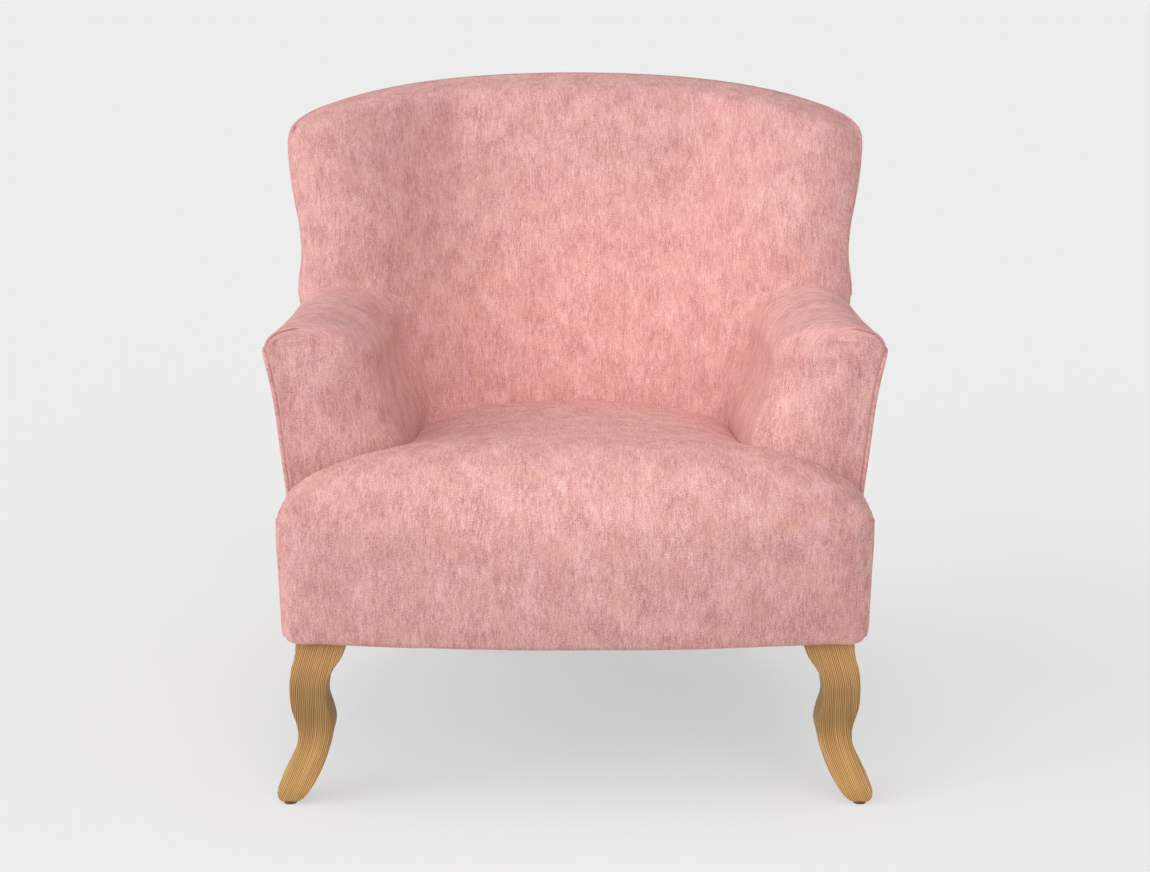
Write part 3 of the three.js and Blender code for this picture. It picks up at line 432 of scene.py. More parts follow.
# one plain finish with a fine grain, for what the covers hide and for the lining
def plain(name, dark, pale, pitch, settings, stretch=(1, 1, 1)):
    material, add = emptied(bpy.data.materials.new(name))
    place = add("TexCoord").outputs["Object"]
    scaled = add("VectorMath", {"operation": "MULTIPLY", 1: tuple(s / pitch for s in stretch)}, {0: place})
    speck = add("TexNoise", {"Scale": 1, "Detail": 4, "Roughness": 0.6}, {"Vector": scaled})
    colour = add("ValToRGB", {"stops": [(0.3, dark), (0.7, pale)]}, {0: speck})
    bump = add("Bump", {"Strength": 0.3, "Distance": pitch / 10}, {"Height": speck})
    surface(add, settings, {"Base Color": colour, "Normal": bump})
    return material


coverVelvet = velvet("chenille_velvet", velvetLook)
pipingVelvet = velvet("chenille_velvet_piping", velvetLook, 9.0)
legOak = oak("oiled_oak", oakLook)
# planed beech is pale and smooth, with faint lines along the rail
beech = plain("planed_beech", "#c39f70", "#dcbd92", 0.004, {"Roughness": 0.65, "IOR": 1.47}, (1, 0.15, 1))
# zinc plating gives a soft grey shine, moulded nylon a dull even one
springSteel = plain("zinc_plated_steel", "#85878a", "#a0a2a5", 0.002, {"Roughness": 0.36, "Metallic": 1.0})
glideNylon = plain("moulded_nylon", "#54402c", "#614b35", 0.002, {"Roughness": 0.5, "IOR": 1.53})
# spunbond, jute and woven elastic are matt; what shows is their specks, threads and ribs
liningBlack = plain("spunbond_lining", "#232325", "#39393c", 0.0015, {"Roughness": 0.95, "IOR": 1.45})
juteCloth = plain("jute_hessian", "#9c8258", "#c9ad7c", 0.002, {"Roughness": 0.95, "IOR": 1.45})
elasticBand = plain("elastic_webbing", "#2e2c2a", "#4a4744", 0.0015, {"Roughness": 0.85, "IOR": 1.45})
print("materials made")


# back

back = {
    "foot": 296.3, "rearLow": 695, "face": 555, "lean": 35, "topSweep": 60, "faceFoot": 390, "roll": 50,
    "rollLead": 20, "halfLow": 40.85, "halfHigh": 150.5, "halfHighHeight": 700, "topRound": 25, "rows": 70,
    "turns": 8, "columns": (46, 1.5), "thickness": 9, "spare": 0.5, "pressure": 4, "limit": 0.004,
    "rises": (0.0007, 0.09, 1), "fill": 0.9,  # rises: height and pitch in metres, seed
}
backPanel = {
    "thickness": 4, "gap": 0.4, "cordGap": 2.4, "cordFrom": (525, 20), "topGap": 5,
    "rows": 61, "columns": 71, "rises": (0.0006, 0.12, 2), "fill": 0.8,
}
crown = whole["corner"] + whole["archRise"]
topShare = back["topRound"] / (crown - back["foot"])


def rearCentre(z):
    return mix(back["rearLow"], whole["depth"], (z - whole["foot"]) / (crown - whole["foot"]))


def rearDepth(share, z, sideZ, rise=None):  # rise only matters to the front
    return seamAt(sideZ) + (rearCentre(z) - seamAt(sideZ)) * quarter(np.abs(share))


def faceDepth(share, z, sideZ):
    t = np.maximum(0, (z - back["faceFoot"]) / (crown - back["faceFoot"]))
    middle = back["face"] + back["lean"] * t + back["topSweep"] * t ** 3
    width = sideHalf(sideZ)
    x = np.abs(share) * width
    rise = np.clip((z - back["faceFoot"]) / (back["halfHighHeight"] - back["faceFoot"]), 0, 1)
    flat = mix(back["halfLow"], back["halfHigh"], rise)
    crest = seamAt(sideZ) - back["rollLead"]
    rolled = crest + back["rollLead"] * (1 - quarter((x - width + back["roll"]) / back["roll"]))
    q = np.clip((x - flat) / (width - back["roll"] - flat), 0, 1)
    hollow = middle + (crest - middle) * (1 - np.cos(math.pi * q)) / 2
    return np.where(x > width - back["roll"], rolled, hollow)


def frontDepth(share, z, sideZ, rise):
    roll = 1 - (1 - rise) / topShare
    return mix(rearDepth(share, z, sideZ), faceDepth(share, z, sideZ), quarter(roll))


def backPoint(foot, share, rise, depthAt):
    sideZ = mix(foot, whole["corner"], rise)
    x = share * sideHalf(sideZ)
    z = mix(foot, archHeight(x), rise)
    return x, depthAt(share, z, sideZ, rise), z


def depthOver(foot, x, z, depthAt):  # the same the other way round: the depth at a place on the back
    rise = (z - foot) / (archHeight(x) - foot)
    sideZ = mix(foot, whole["corner"], rise)
    return depthAt(np.minimum(1, np.abs(x) / sideHalf(sideZ)), z, sideZ, rise)


def backFaceAt(x, z):
    return depthOver(back["foot"], x, z, frontDepth)


def rearFaceAt(x, z):
    return depthOver(whole["foot"], x, z, rearDepth)


def keepWithin(piece):  # holds the turned edges inside the outline of the back
    coords = coordsOf(piece)
    half = (sideHalf(coords[:, 2] * 1000) + back["spare"]) / 1000
    coords[:, 0] = np.clip(coords[:, 0], -half, half)
    setCoords(piece, coords)


def makeInsideBack():
    share = mirrored(crowdedEnd(*back["columns"]))
    rise = joined(np.linspace(0, 1 - topShare, back["rows"], endpoint=False),
                  1 - topShare * (1 - np.sin(steps(back["turns"], math.pi / 2))))
    points = inMetres(*backPoint(back["foot"], share[None, :], rise[:, None], frontDepth))
    piece = meshOf("inside_back", [(points, clothOn(points, len(share) // 2))])
    stuff(piece, back)
    skin(piece, back["thickness"], back["rises"])
    keepWithin(piece)
    pad(piece, back["fill"], "inside_back_cover", "back_foam")


def makeOutsideBack():
    rise = steps(backPanel["rows"])[:, None]
    high = ease(mix(whole["foot"], whole["corner"], rise), *backPanel["cordFrom"])
    gap = mix(backPanel["gap"], backPanel["cordGap"], high)
    reach = (math.pi / 2) * (1 - gap / (back["rearLow"] - whole["seam"]))
    angle = reach * np.linspace(-1, 1, backPanel["columns"])[None, :]
    x, depth, z = backPoint(whole["foot"], np.sin(angle), rise, rearDepth)
    points = inMetres(x, depth, z - backPanel["topGap"] * rise)[:, ::-1]
    piece = meshOf("outside_back_panel", [(points, clothOn(points, backPanel["columns"] // 2))])
    skin(piece, backPanel["thickness"], backPanel["rises"])
    pad(piece, backPanel["fill"], "outside_back")


makeInsideBack()
makeOutsideBack()
print("back made")


# arms

arm = {
    "front": 112, "crownX": 317, "crownHeight": 576, "seamX": 374.3, "seamHeight": 540, "innerHalf": 247,
    "innerTop": 518, "innerHalfLow": 215, "innerFoot": 390, "topPower": 2.4, "roundInner": 55, "roundTop": 16,
    "roundOuter": 4.5, "panel": 4, "thickness": 6, "pressure": 4, "limit": 0.003, "shoulderPower": 2.3,
    "waist": 3, "waistFront": 130, "waistFoot": 480, "cove": 60, "coveFrom": (0.3, 0.6),
    "tuck": 4, "tightReach": 26, "tightOver": 8,
    "half": 44, "turns": 18, "rings": 26, "coveRings": 13, "across": 15,
    "napRings": 20, "napStart": 0.27, "napPull": 0.75, "napShift": 2,  # how the pile turns over the front
    "rises": (0.0006, 0.08), "seed": 3, "fill": 0.9,
    "fold": {  # angles round the shoulder are a start and a run in radians
        "start": (0.1, 0.15), "end": (1.05, 0.25), "at": 0.5, "drop": 5, "dropFrom": (0.5, 0.6),
        "sink": 4.4, "width": 1.15, "lip": 2.0, "lipAt": 1.8, "lipWidth": 4,
    },
}


def crownCurve(x, z, power, rounds, rising):  # between the crown of the arm and a place beside it
    angle = steps(30, math.pi / 2)
    out, up = np.abs(np.cos(angle)) ** (2 / power), np.sin(angle) ** (2 / power)
    if not rising:
        out, up = up, out
    return np.stack([mix(arm["crownX"], x, out), mix(z, arm["crownHeight"], up),
                     mix(*rounds, angle / angle[-1])], axis=1)


# the line over the arm: from its outer foot to its crown, then down to its inner foot; the third
# value is how rounded its front edge is there
def armLine():
    low, top, high = arm["roundOuter"], arm["roundTop"], arm["roundInner"]
    z = np.linspace(whole["padFoot"], arm["seamHeight"] - whole["gap"], 40)
    outer = np.stack([sideHalf(z) - arm["panel"] - whole["gap"], z, np.full_like(z, low)], axis=1)
    shoulder = crownCurve(arm["seamX"], arm["seamHeight"], arm["shoulderPower"], (low, top), True)
    fall = crownCurve(arm["innerHalf"], arm["innerTop"], arm["topPower"], (top, high), False)
    share = steps(30)[1:]
    inner = np.stack([mix(arm["innerHalf"], arm["innerHalfLow"], smooth(share)),
                      mix(arm["innerTop"], arm["innerFoot"], share), np.full_like(share, high)], axis=1)
    foot = np.array([[arm["innerHalfLow"], whole["padFoot"], high]])
    up, down = (evenly(line, along(line[:, :2]), arm["half"])
                for line in (joined(outer, shoulder), joined(fall, inner, foot)))
    return joined(up, down[1:])


def waistAt(depth):  # how far the top of the arm dips between its front and the back
    place = np.clip((depth - arm["waistFront"]) / (whole["seam"] - arm["waistFront"]), 0, 1)
    return arm["waist"] * np.sin(math.pi * place)


def foldLift(x, depth, z):  # a tuck where the top cloth is folded over the front at the outer corner
    fold = arm["fold"]
    rise, reach = arm["crownHeight"] - arm["seamHeight"], arm["seamX"] - arm["crownX"]
    up, out = (z - arm["seamHeight"]) / rise, (np.abs(x) - arm["crownX"]) / reach
    turn = np.arctan2(up, out)
    here = ease(turn, *fold["start"]) * (1 - ease(turn, *fold["end"]))
    power = arm["shoulderPower"]
    inside = 1 - (np.maximum(up, 0) ** power + np.maximum(out, 0) ** power) ** (1 / power)
    drop = fold["drop"] * ease(turn, *fold["dropFrom"])
    line = depth - arm["front"] - inside * (rise + reach) / 2 - fold["at"] + drop
    return here * (fold["lip"] * hump(line - fold["lipAt"] * fold["width"], fold["lipWidth"])
                   - (fold["sink"] + fold["lip"]) * hump(line, fold["width"]))


def armWrap(side, x, z, radius, normal):  # rings of the top cloth from the front of the arm to the back
    rings = []
    for angle in steps(arm["turns"], math.pi / 2):
        cut = radius * (1 - math.sin(angle))
        depth = arm["front"] + radius * (1 - math.cos(angle))
        rings.append(inMetres(side * (x - normal[:, 0] * cut), depth, z - normal[:, 1] * cut))
    start = arm["front"] + arm["roundInner"] + whole["gap"]
    # at its rear end the inner side turns in a hollow curve onto the back
    cove = ease(-normal[:, 0], *arm["coveFrom"])
    inward = arm["cove"] * cove
    corner, far = (backFaceAt(np.minimum(x - step, sideHalf(z)), z) + arm["tuck"] for step in (0, inward))
    high = ease(z, arm["waistFoot"], arm["seamHeight"] - arm["waistFoot"])
    for share in steps(arm["rings"]):
        depth = mix(start, corner - arm["cove"], share)
        rings.append(inMetres(side * x, depth, z - waistAt(depth) * high))
    for share in steps(arm["coveRings"])[1:]:
        bend = mix(corner - arm["cove"] / 2, corner, cove)
        depth = mix(mix(corner - arm["cove"], bend, share), mix(bend, far, share), share)
        rings.append(inMetres(side * (x - inward * share ** 2), depth, z - waistAt(depth) * high))
    return np.stack(rings)


def makeArm(side, word):
    line = armLine()
    x, z, radius = line.T
    run = (joined(line[1:], line[-1:]) - joined(line[:1], line[:-1]))[:, :2]
    normal = -leftOf(run)
    wrap = armWrap(side, x, z, radius, normal)
    deep = along(wrap.transpose(1, 0, 2)).T
    over = (along(line[:, :2])[-1] - along(line[:, :2])) / 1000
    frontCloth = clothPlace(np.abs(wrap[0, :, 0]) + normal[:, 0] * deep, wrap[0, :, 2] + normal[:, 1] * deep)
    wrapCloth = clothPlace(arm["napStart"] - arm["napPull"] * deep, over + whole["padFoot"] / 1000)
    nap = mix(frontCloth, wrapCloth, smooth(np.arange(len(wrap)) / arm["napRings"])[:, None, None])
    outer, inner = wrap[0, :arm["half"]], wrap[0, arm["half"] - 1:][::-1]
    rungs = mix(outer[:, None], inner[:, None], steps(arm["across"])[None, :, None])
    rungCloth = clothPlace(np.abs(rungs[..., 0]), rungs[..., 2])
    shift = side * arm["napShift"]
    piece = meshOf(word + "_arm", [(wrap[:, ::-side], nap[:, ::-side] + shift),
                                   (rungs[::-1, ::side], rungCloth[::-1, ::side] + shift)])
    x, _, z = placesOf(piece)
    outerSide = (np.abs(x) > sideHalf(z) - arm["tightReach"]) & (z < arm["seamHeight"] + arm["tightOver"])
    stuff(piece, arm, outerSide)
    skin(piece, arm["thickness"], (*arm["rises"], arm["seed"] + side), foldLift)
    pad(piece, arm["fill"], word + "_arm_cover", word + "_arm_foam")


outside = {
    "front": 118, "rear": 445.2, "top": 539.4, "rows": 44, "columns": 36, "bow": 1.2, "bowFoot": 0.02,
    "thickness": 4, "napShift": 5, "rises": (0.0004, 0.1), "seed": 6, "fill": 0.8,
}


def makeOutsideArm(side, word):
    depth = np.linspace(outside["front"], outside["rear"], outside["columns"])[None, :]
    z = mix(whole["foot"], outside["top"] - waistAt(depth), steps(outside["rows"])[:, None])
    place = math.pi * (depth - outside["front"]) / (outside["rear"] - outside["front"])
    up = np.linspace(outside["bowFoot"], 1, outside["rows"])[:, None]
    x = sideHalf(z) + outside["bow"] * np.sin(place) * np.sin(math.pi * up)
    points = inMetres(side * x, depth, z)
    nap = clothPlace(depth / 1000 + side * outside["napShift"], z / 1000)
    piece = meshOf(word + "_outside_arm_panel", [(points[:, ::side], nap[:, ::side])])
    skin(piece, outside["thickness"], (*outside["rises"], outside["seed"] + side))
    pad(piece, outside["fill"], word + "_outside_arm")


for side, word in bothSides:
    makeArm(side, word)
    makeOutsideArm(side, word)
print("arms made")


# seat

seat = {
    "half": 356, "shoulder": 352, "crown": 428, "crownDepth": 140, "fall": 37, "dome": 8, "bow": 21,
    "frontRoll": 100, "sideRoll": 130, "corner": 20, "taper": 3, "hem": 12, "sag": 4, "innerHalf": 215,
    "crevice": 40, "creviceDrop": 6, "creviceRun": 200, "sideFall": 11, "deckHalf": 214.7, "deckFront": 269.7,
    "wingBack": 111.7, "tub": 555, "backFoot": 395, "tuck": 8, "flap": 50, "turnedHem": 15, "tightFoot": 14,
    "thickness": 6, "pressure": 4, "limit": 0.004, "rises": (0.0008, 0.1, 8), "fill": 0.85,
    # how many lines of points, and how they crowd toward one end
    "deckColumns": (27, 1.2), "wingColumns": (18, 1.6), "crestRows": (24, 1.8), "deckRows": (50, 1.6),
    "hemRows": 6, "wallRows": 16, "flapRows": 6, "turnedRows": 4,
    "seam": {"x": 350.6, "above": 4, "sink": 1.8, "width": 1.5, "end": (2, 12), "depth": 60,
             "folds": 7, "foldHeight": 0.8, "foldReach": 15, "foldCore": 4, "foldDepth": 90},
}


def seatFront(x):
    over = (np.abs(x) - seat["half"] + seat["corner"]) / seat["corner"]
    return seat["bow"] * (x / seat["half"]) ** 2 + seat["corner"] * (1 - quarter(over))


def deckHalfAt(depth):  # the deck narrows round the turned edges of the arms
    turn = seat["deckFront"] - seat["deckHalf"]
    return seat["deckHalf"] + turn * (1 - quarter(1 - (depth - seat["wingBack"]) / turn))


def seatHeight(x, depth):
    wide = np.abs(x)
    fall = seat["fall"] * np.maximum(0, (depth - seat["crownDepth"]) / (seat["tub"] - seat["crownDepth"]))
    top = seat["crown"] - fall - seat["dome"] * (x / seat["innerHalf"]) ** 2
    dip = seat["creviceDrop"] * (1 - quarter((wide - deckHalfAt(depth) + seat["crevice"]) / seat["crevice"]))
    dip = dip + seat["sideFall"] * np.minimum(wide / seat["deckHalf"], 1) ** 4
    side = quarter((wide - seat["half"] + seat["sideRoll"]) / seat["sideRoll"])
    front = quarter(1 - (depth - seatFront(x)) / seat["frontRoll"])
    behind = ease(depth, arm["front"], seat["creviceRun"])
    return seat["shoulder"] + (top - seat["shoulder"]) * side * front - dip * behind


def belowShoulder(z):  # 0 at the shoulder, 1 at the hem
    return np.clip((seat["shoulder"] - z) / (seat["shoulder"] - whole["foot"]), 0, 1)


def seamLift(x, depth, z):  # the upright seams at the front corners, gathered into a pucker at the shoulder
    seam = seat["seam"]
    across = np.abs(x) + seat["taper"] * belowShoulder(z) - seam["x"]
    up = z - seat["shoulder"] - seam["above"]
    low = 1 - ease(up, *seam["end"])
    groove = -seam["sink"] * hump(across, seam["width"]) * low * (depth < seam["depth"])
    reach = np.sqrt(across ** 2 + up ** 2)
    gather = np.cos(seam["folds"] * np.arctan2(up, across)) * hump(reach, seam["foldReach"])
    gather = gather * smooth(reach / seam["foldCore"])
    return groove + seam["foldHeight"] * gather * (depth < seam["foldDepth"])


def hemmed(x, depth, z, isFront):
    low = belowShoulder(z)
    hem = seat["hem"] * (1 - quarter((whole["foot"] + seat["hem"] - z) / seat["hem"]))
    edge = smooth((np.abs(x) - seat["half"] + seat["sideRoll"] / 2) / (seat["sideRoll"] / 2))
    sag = seat["sag"] * low * (1 - (x / seat["half"]) ** 2)
    drawn = x - np.sign(x) * (hem + seat["taper"] * low) * edge
    return inMetres(drawn, depth + isFront * hem * (1 - edge), z - sag)


def lowRow(depth, sign):  # the lowest points of one upright side, from back to front on the left
    depths = depth[:, 0 if sign < 0 else -1]
    row = hemmed(np.full_like(depths, sign * seat["half"]), depths, np.full_like(depths, whole["foot"]), 0)
    return row[1:][::sign]


def makeSeat():
    deck = seat["deckFront"] * crowdedEnd(*seat["deckColumns"])
    wing = mix(seat["deckFront"], seat["half"], crowdedEnd(*seat["wingColumns"]))
    x = mirrored(joined(deck, wing[1:]))[None, :]
    hemTop = whole["foot"] + seat["hem"]
    turn = 1 - np.cos(steps(seat["hemRows"], math.pi / 2))
    levels = joined(whole["foot"] + seat["hem"] * turn,
                    np.linspace(hemTop, seat["shoulder"], seat["wallRows"])[1:])[:, None]
    front = seatFront(x)
    wall = hemmed(x, front, levels, 1)
    depth = mix(front, seat["wingBack"], crowdedStart(*seat["crestRows"])[:, None])
    crest = hemmed(x, depth, seatHeight(x, depth), 0)
    profile = joined(wall, crest[1:])
    length = along(profile.transpose(1, 0, 2)).T
    length = mix(length, length[:, [x.shape[1] // 2]], 0.5)
    cloth = clothPlace(x / 1000, length)
    patches = [(profile, cloth)]
    # the deck runs back under the back
    inside = np.abs(x[0]) <= seat["deckFront"] + 0.01
    deckShare = x[:, inside] / seat["deckFront"]
    end = backFaceAt(deckShare * seat["deckHalf"], np.full_like(deckShare, seat["backFoot"])) + seat["tuck"]
    deckDepth = mix(seat["wingBack"], end, crowdedStart(*seat["deckRows"])[:, None])
    deckX = deckShare * deckHalfAt(deckDepth)
    top = inMetres(deckX, deckDepth, seatHeight(deckX, deckDepth))
    deckCloth = clothPlace(deckX / 1000, cloth[-1, inside, 1] + (deckDepth - seat["wingBack"]) / 1000)
    patches.append((top, deckCloth))
    # flaps down beside the arms
    drop = np.linspace(0, seat["flap"] / 1000, seat["flapRows"])[None, :, None]
    for column, turn in ((0, 1), (-1, -1)):
        flap = top[:, column][:, None] + drop * np.array([0, 0, -1.0])
        flapCloth = deckCloth[:, column][:, None] + drop * np.array([turn * -1.0, 0])
        patches.append((flap[:, ::-turn], flapCloth[:, ::-turn]))
    # upright sides and the rear of the two wings
    for sign, column in ((-1, 0), (1, -1)):
        depths = depth[:, column]
        wallSide = hemmed(np.full((1, 1), sign * seat["half"]), depths[None, :], levels, 0)
        sideCloth = clothPlace(sign * (seat["half"] + depths[None, :] - depths[0]) / 1000,
                               length[:len(levels), column][:, None])
        patches.append((wallSide[:, ::sign], sideCloth[:, ::sign]))
        chosen = x[0] * sign >= seat["deckFront"] - 0.01
        wingX = x[:, chosen]
        rim = crest[-1, chosen][None]
        rear = hemmed(wingX, np.full_like(wingX, seat["wingBack"]), levels[::-1], 0)
        rear[0] = np.where(rim[..., 2:] > 0, rim, rear[0])[0]
        rear = joined(rim, rear[1:])
        patches.append((rear, clothPlace(wingX / 1000, rear[..., 2] + 3)))
    # the cloth turned under the front and the sides
    rim = joined(lowRow(depth, -1), profile[0], lowRow(depth, 1))
    inward = np.column_stack([leftOf(np.gradient(rim[:, :2], axis=0)), np.zeros(len(rim))])
    step = np.linspace(0, seat["turnedHem"] / 1000, seat["turnedRows"])[:, None]
    under, underCloth = rim[None] + inward[None] * step[..., None], clothPlace(rim[None, :, 0], -step)
    patches.append((under[::-1], underCloth[::-1]))
    piece = meshOf("seat", patches)
    x, depth, z = placesOf(piece)
    besideArm = (np.abs(x) > deckHalfAt(depth) - 1) & (depth > seat["wingBack"] - 1)
    stuff(piece, seat, (z < whole["foot"] + seat["tightFoot"]) | besideArm)
    skin(piece, seat["thickness"], seat["rises"], seamLift)
    pad(piece, seat["fill"], "seat_cover", "seat_foam")


makeSeat()
print("seat made")


# piping: a cord in the cover cloth, sewn into the outer seams

piping = {
    "radius": 3.2, "sink": 1.2, "groove": 3.6, "sides": 14, "step": 0.004, "foldedEnd": 0.55, "napScale": 0.7,
    "sideRows": 60, "archRows": 160, "crownSink": 3, "crownRun": 60,
    "armSink": 2.6, "armGroove": 115.8, "armStand": 0.6, "armFoot": 205,
    "uprightShares": [0, 0.12, 0.25, 0.38, 0.5, 0.62, 0.75, 0.84, 0.9, 0.96],
    "topShares": [0.02, 0.15, 0.3, 0.45, 0.6, 0.8, 1],
}


def curveThrough(points):  # centripetal curve through points, in metres
    def between(low, high, p, q):
        span = knots[high] - knots[low]
        return (knots[high] - t) / span * p + (t - knots[low]) / span * q

    points = np.asarray(points, float)
    ends = [2 * points[0] - points[1], 2 * points[-1] - points[-2]]
    padded = joined(ends[:1], points, ends[1:])
    found = []
    for i in range(1, len(padded) - 2):
        a, b, c, d = padded[i - 1:i + 3]
        knots = np.cumsum([0, *[max(np.linalg.norm(v) ** 0.5, 1e-6) for v in (b - a, c - b, d - c)]])
        count = max(2, int(np.linalg.norm(c - b) / piping["step"]))
        t = np.linspace(knots[1], knots[2], count, endpoint=False)[:, None]
        e, f, g = between(0, 1, a, b), between(1, 2, b, c), between(2, 3, c, d)
        found.append(between(1, 2, between(0, 2, e, f), between(1, 3, f, g)))
    return joined(*found, points[-1:])


def makeCord(node, path):
    radius, scale = piping["radius"] / 1000, piping["napScale"]
    run = np.gradient(path, axis=0)
    run /= np.linalg.norm(run, axis=1, keepdims=True)
    across = np.cross(run[0], [0.3, 0.5, 0.8])
    frames = []
    for direction in run:
        across = across - direction * across.dot(direction)
        across /= np.linalg.norm(across)
        frames.append((across, np.cross(direction, across)))
    turn = np.linspace(0, 2 * math.pi, piping["sides"] + 1)
    offsets = np.array([np.outer(np.cos(turn), a) + np.outer(np.sin(turn), b) for a, b in frames])
    shrink = np.ones(len(path))
    shrink[[0, -1]] = piping["foldedEnd"]
    points = path[:, None] + offsets * radius * shrink[:, None, None]
    place = along(path)[:, None]
    nap = clothPlace(turn * radius * scale + place * scale, place * scale)
    piece = meshOf(node + "_cord", [(points, nap)], weld=0.0001)
    work = bmesh.new()
    work.from_mesh(piece.data)
    bmesh.ops.holes_fill(work, edges=[e for e in work.edges if e.is_boundary], sides=0)
    bmesh.ops.recalc_face_normals(work, faces=work.faces)
    work.to_mesh(piece.data)
    work.free()
    dress(piece, "piping_velvet", pipingVelvet, node)


def makeBackPiping():
    rows = piping["sideRows"]
    sideZ = mix(arm["seamHeight"] + 3 * piping["radius"], whole["corner"], steps(rows))
    share = np.cos(steps(piping["archRows"], math.pi / 2))[1:]
    x = joined(sideHalf(sideZ), share * sideHalf(whole["corner"]))
    rise = (sideZ - back["foot"]) / (whole["corner"] - back["foot"])
    z = joined(mix(back["foot"], archHeight(x[:rows]), rise), archHeight(x[rows:]))
    depth = joined(seamAt(sideZ), rearDepth(share, z[rows:], whole["corner"]))
    edge = np.stack([x, z], axis=1)
    over = smooth((sideHalf(whole["corner"]) - x) / piping["crownRun"]) * (z > whole["corner"])
    edge = edge + leftOf(np.gradient(edge, axis=0)) * mix(piping["sink"], piping["crownSink"], over)[:, None]
    half = inMetres(edge[:, 0], depth + mix(piping["groove"], piping["sink"], over), edge[:, 1])
    path = joined(half, (half * [-1, 1, 1])[:-1][::-1])
    place = along(path)
    makeCord("back_piping", evenly(path, place, int(place[-1] / piping["step"])))


def makeArmPiping(side, word):
    front = piping["armGroove"]
    z = mix(piping["armFoot"], arm["seamHeight"], np.array(piping["uprightShares"]))
    upright = inMetres(side * (sideHalf(z) - piping["armSink"]), front, z)
    depth = mix(front, whole["seam"] - 2 * piping["radius"], np.array(piping["topShares"]))
    run = inMetres(side * (arm["seamX"] + piping["armStand"]), depth, arm["seamHeight"] - waistAt(depth))
    makeCord(word + "_arm_piping", curveThrough(joined(upright, run)))


makeBackPiping()
for side, word in bothSides:
    makeArmPiping(side, word)
print("piping made")


# legs

frontLeg = {
    "x": 313, "depth": 58, "reach": 46, "foot": 3.3, "top": 200, "rows": 120, "edge": 2.2, "sole": 4.5,
    "soleShare": 0.025, "soleRows": 9,
    "outer": [  # share of the height, share of the reach away from the middle of the foot
        (0, 0.96), (0.054, 1.03), (0.108, 1), (0.18, 0.85), (0.27, 0.66), (0.36, 0.53), (0.45, 0.53),
        (0.593, 0.66), (0.72, 0.68), (0.835, 0.63), (0.9, 0.55), (1, 0.5),
    ],
    "inner": [
        (0, 0.5), (0.045, 0.3), (0.108, 0.1), (0.18, -0.08), (0.27, -0.25), (0.36, -0.34), (0.45, -0.42),
        (0.54, -0.37), (0.65, -0.27), (0.755, -0.33), (0.835, -0.48), (0.9, -0.68), (1, -0.86),
    ],
    "grain": [(0, 0.78), (0.18, 0.42), (0.36, 0.12), (0.55, 0.02), (0.75, 0.0), (1, -0.3)],
}
rearLeg = {
    "x": 250, "depth": 566, "rake": 62, "bend": 1.2, "topWidth": 42, "footWidth": 28, "foot": 3.3, "top": 200,
    "rows": 60, "edge": 3.0, "sole": 3.0, "soleShare": 0.015, "soleRows": 5,
}


def roundedSquare(low, high, edge):  # points round a section, each with the number of its face
    turns = steps(6, math.pi / 2)
    points = []
    for corner, (right, rear) in enumerate(((1, 1), (0, 1), (0, 0), (1, 0))):
        x = mix(low[0] + edge, high[0] - edge, right)
        depth = mix(low[1] + edge, high[1] - edge, rear)
        for turn in turns:
            face = corner if turn > math.pi / 4 else (corner + 3) % 4
            angle = turn + corner * math.pi / 2
            points.append((x + edge * math.cos(angle), depth + edge * math.sin(angle), face))
    return points


def legShares(leg):  # steps up a leg, short ones over the rounded edge of its sole
    sole, rest = leg["soleShare"], np.linspace(leg["soleShare"], 1, leg["rows"])
    return joined(np.linspace(0, sole, leg["soleRows"])[:-1], rest)


def soleInset(leg, level):
    return leg["sole"] * float(1 - quarter(1 - (level - leg["foot"]) / leg["sole"]))


def makeLeg(node, rings, levels, leaning):
    work = bmesh.new()
    layer = work.verts.layers.float_vector.new("grain")
    rows = []
    for ring, z, lean in zip(rings, levels, leaning):
        row = []
        for x, depth, face in ring:
            vertex = work.verts.new(inMetres(x, depth, z))
            across = depth - lean[1] if face % 2 else x - lean[0]
            vertex[layer] = (across / 1000, oakLook["faceShift"] * face, z / 1000)
            row.append(vertex)
        rows.append(row)
    for low, high in zip(rows, rows[1:]):
        for j in range(len(low)):
            k = (j + 1) % len(low)
            work.faces.new([low[j], low[k], high[k], high[j]])
    work.faces.new(rows[0][::-1])
    work.faces.new(rows[-1])
    bmesh.ops.recalc_face_normals(work, faces=work.faces)
    dress(pieceOf(node + "_oak", work), "leg_oak", legOak, node)


def makeFrontLeg(side, word, leg):  # sawn to the same curve from the front and from the side
    share = legShares(leg)
    levels = mix(leg["foot"], leg["top"], share)
    out, inn = (leg["reach"] * through(leg[key], share) for key in ("outer", "inner"))
    rings, leaning = [], []
    for a, b, level in zip(out, inn, levels):
        inset = soleInset(leg, level)
        a, b = a - inset, b + inset
        xs = sorted((side * (leg["x"] + a), side * (leg["x"] + b)))
        rings.append(roundedSquare((xs[0], leg["depth"] - a), (xs[1], leg["depth"] - b), leg["edge"]))
        middle = leg["reach"] * float(through(leg["grain"], level / leg["top"]))
        leaning.append((side * (leg["x"] + middle), leg["depth"] - middle))
    makeLeg(word + "_front_leg", rings, levels, leaning)


def makeRearLeg(side, word, leg):
    share, x = legShares(leg), side * leg["x"]
    levels = mix(leg["foot"], leg["top"], share)
    rings, leaning = [], []
    for s, level in zip(share, levels):
        half = mix(leg["footWidth"], leg["topWidth"], s) / 2 - soleInset(leg, level)
        depth = leg["depth"] + leg["rake"] * (1 - s) ** leg["bend"]
        rings.append(roundedSquare((x - half, depth - half), (x + half, depth + half), leg["edge"]))
        leaning.append((x, depth))
    makeLeg(word + "_rear_leg", rings, levels, leaning)


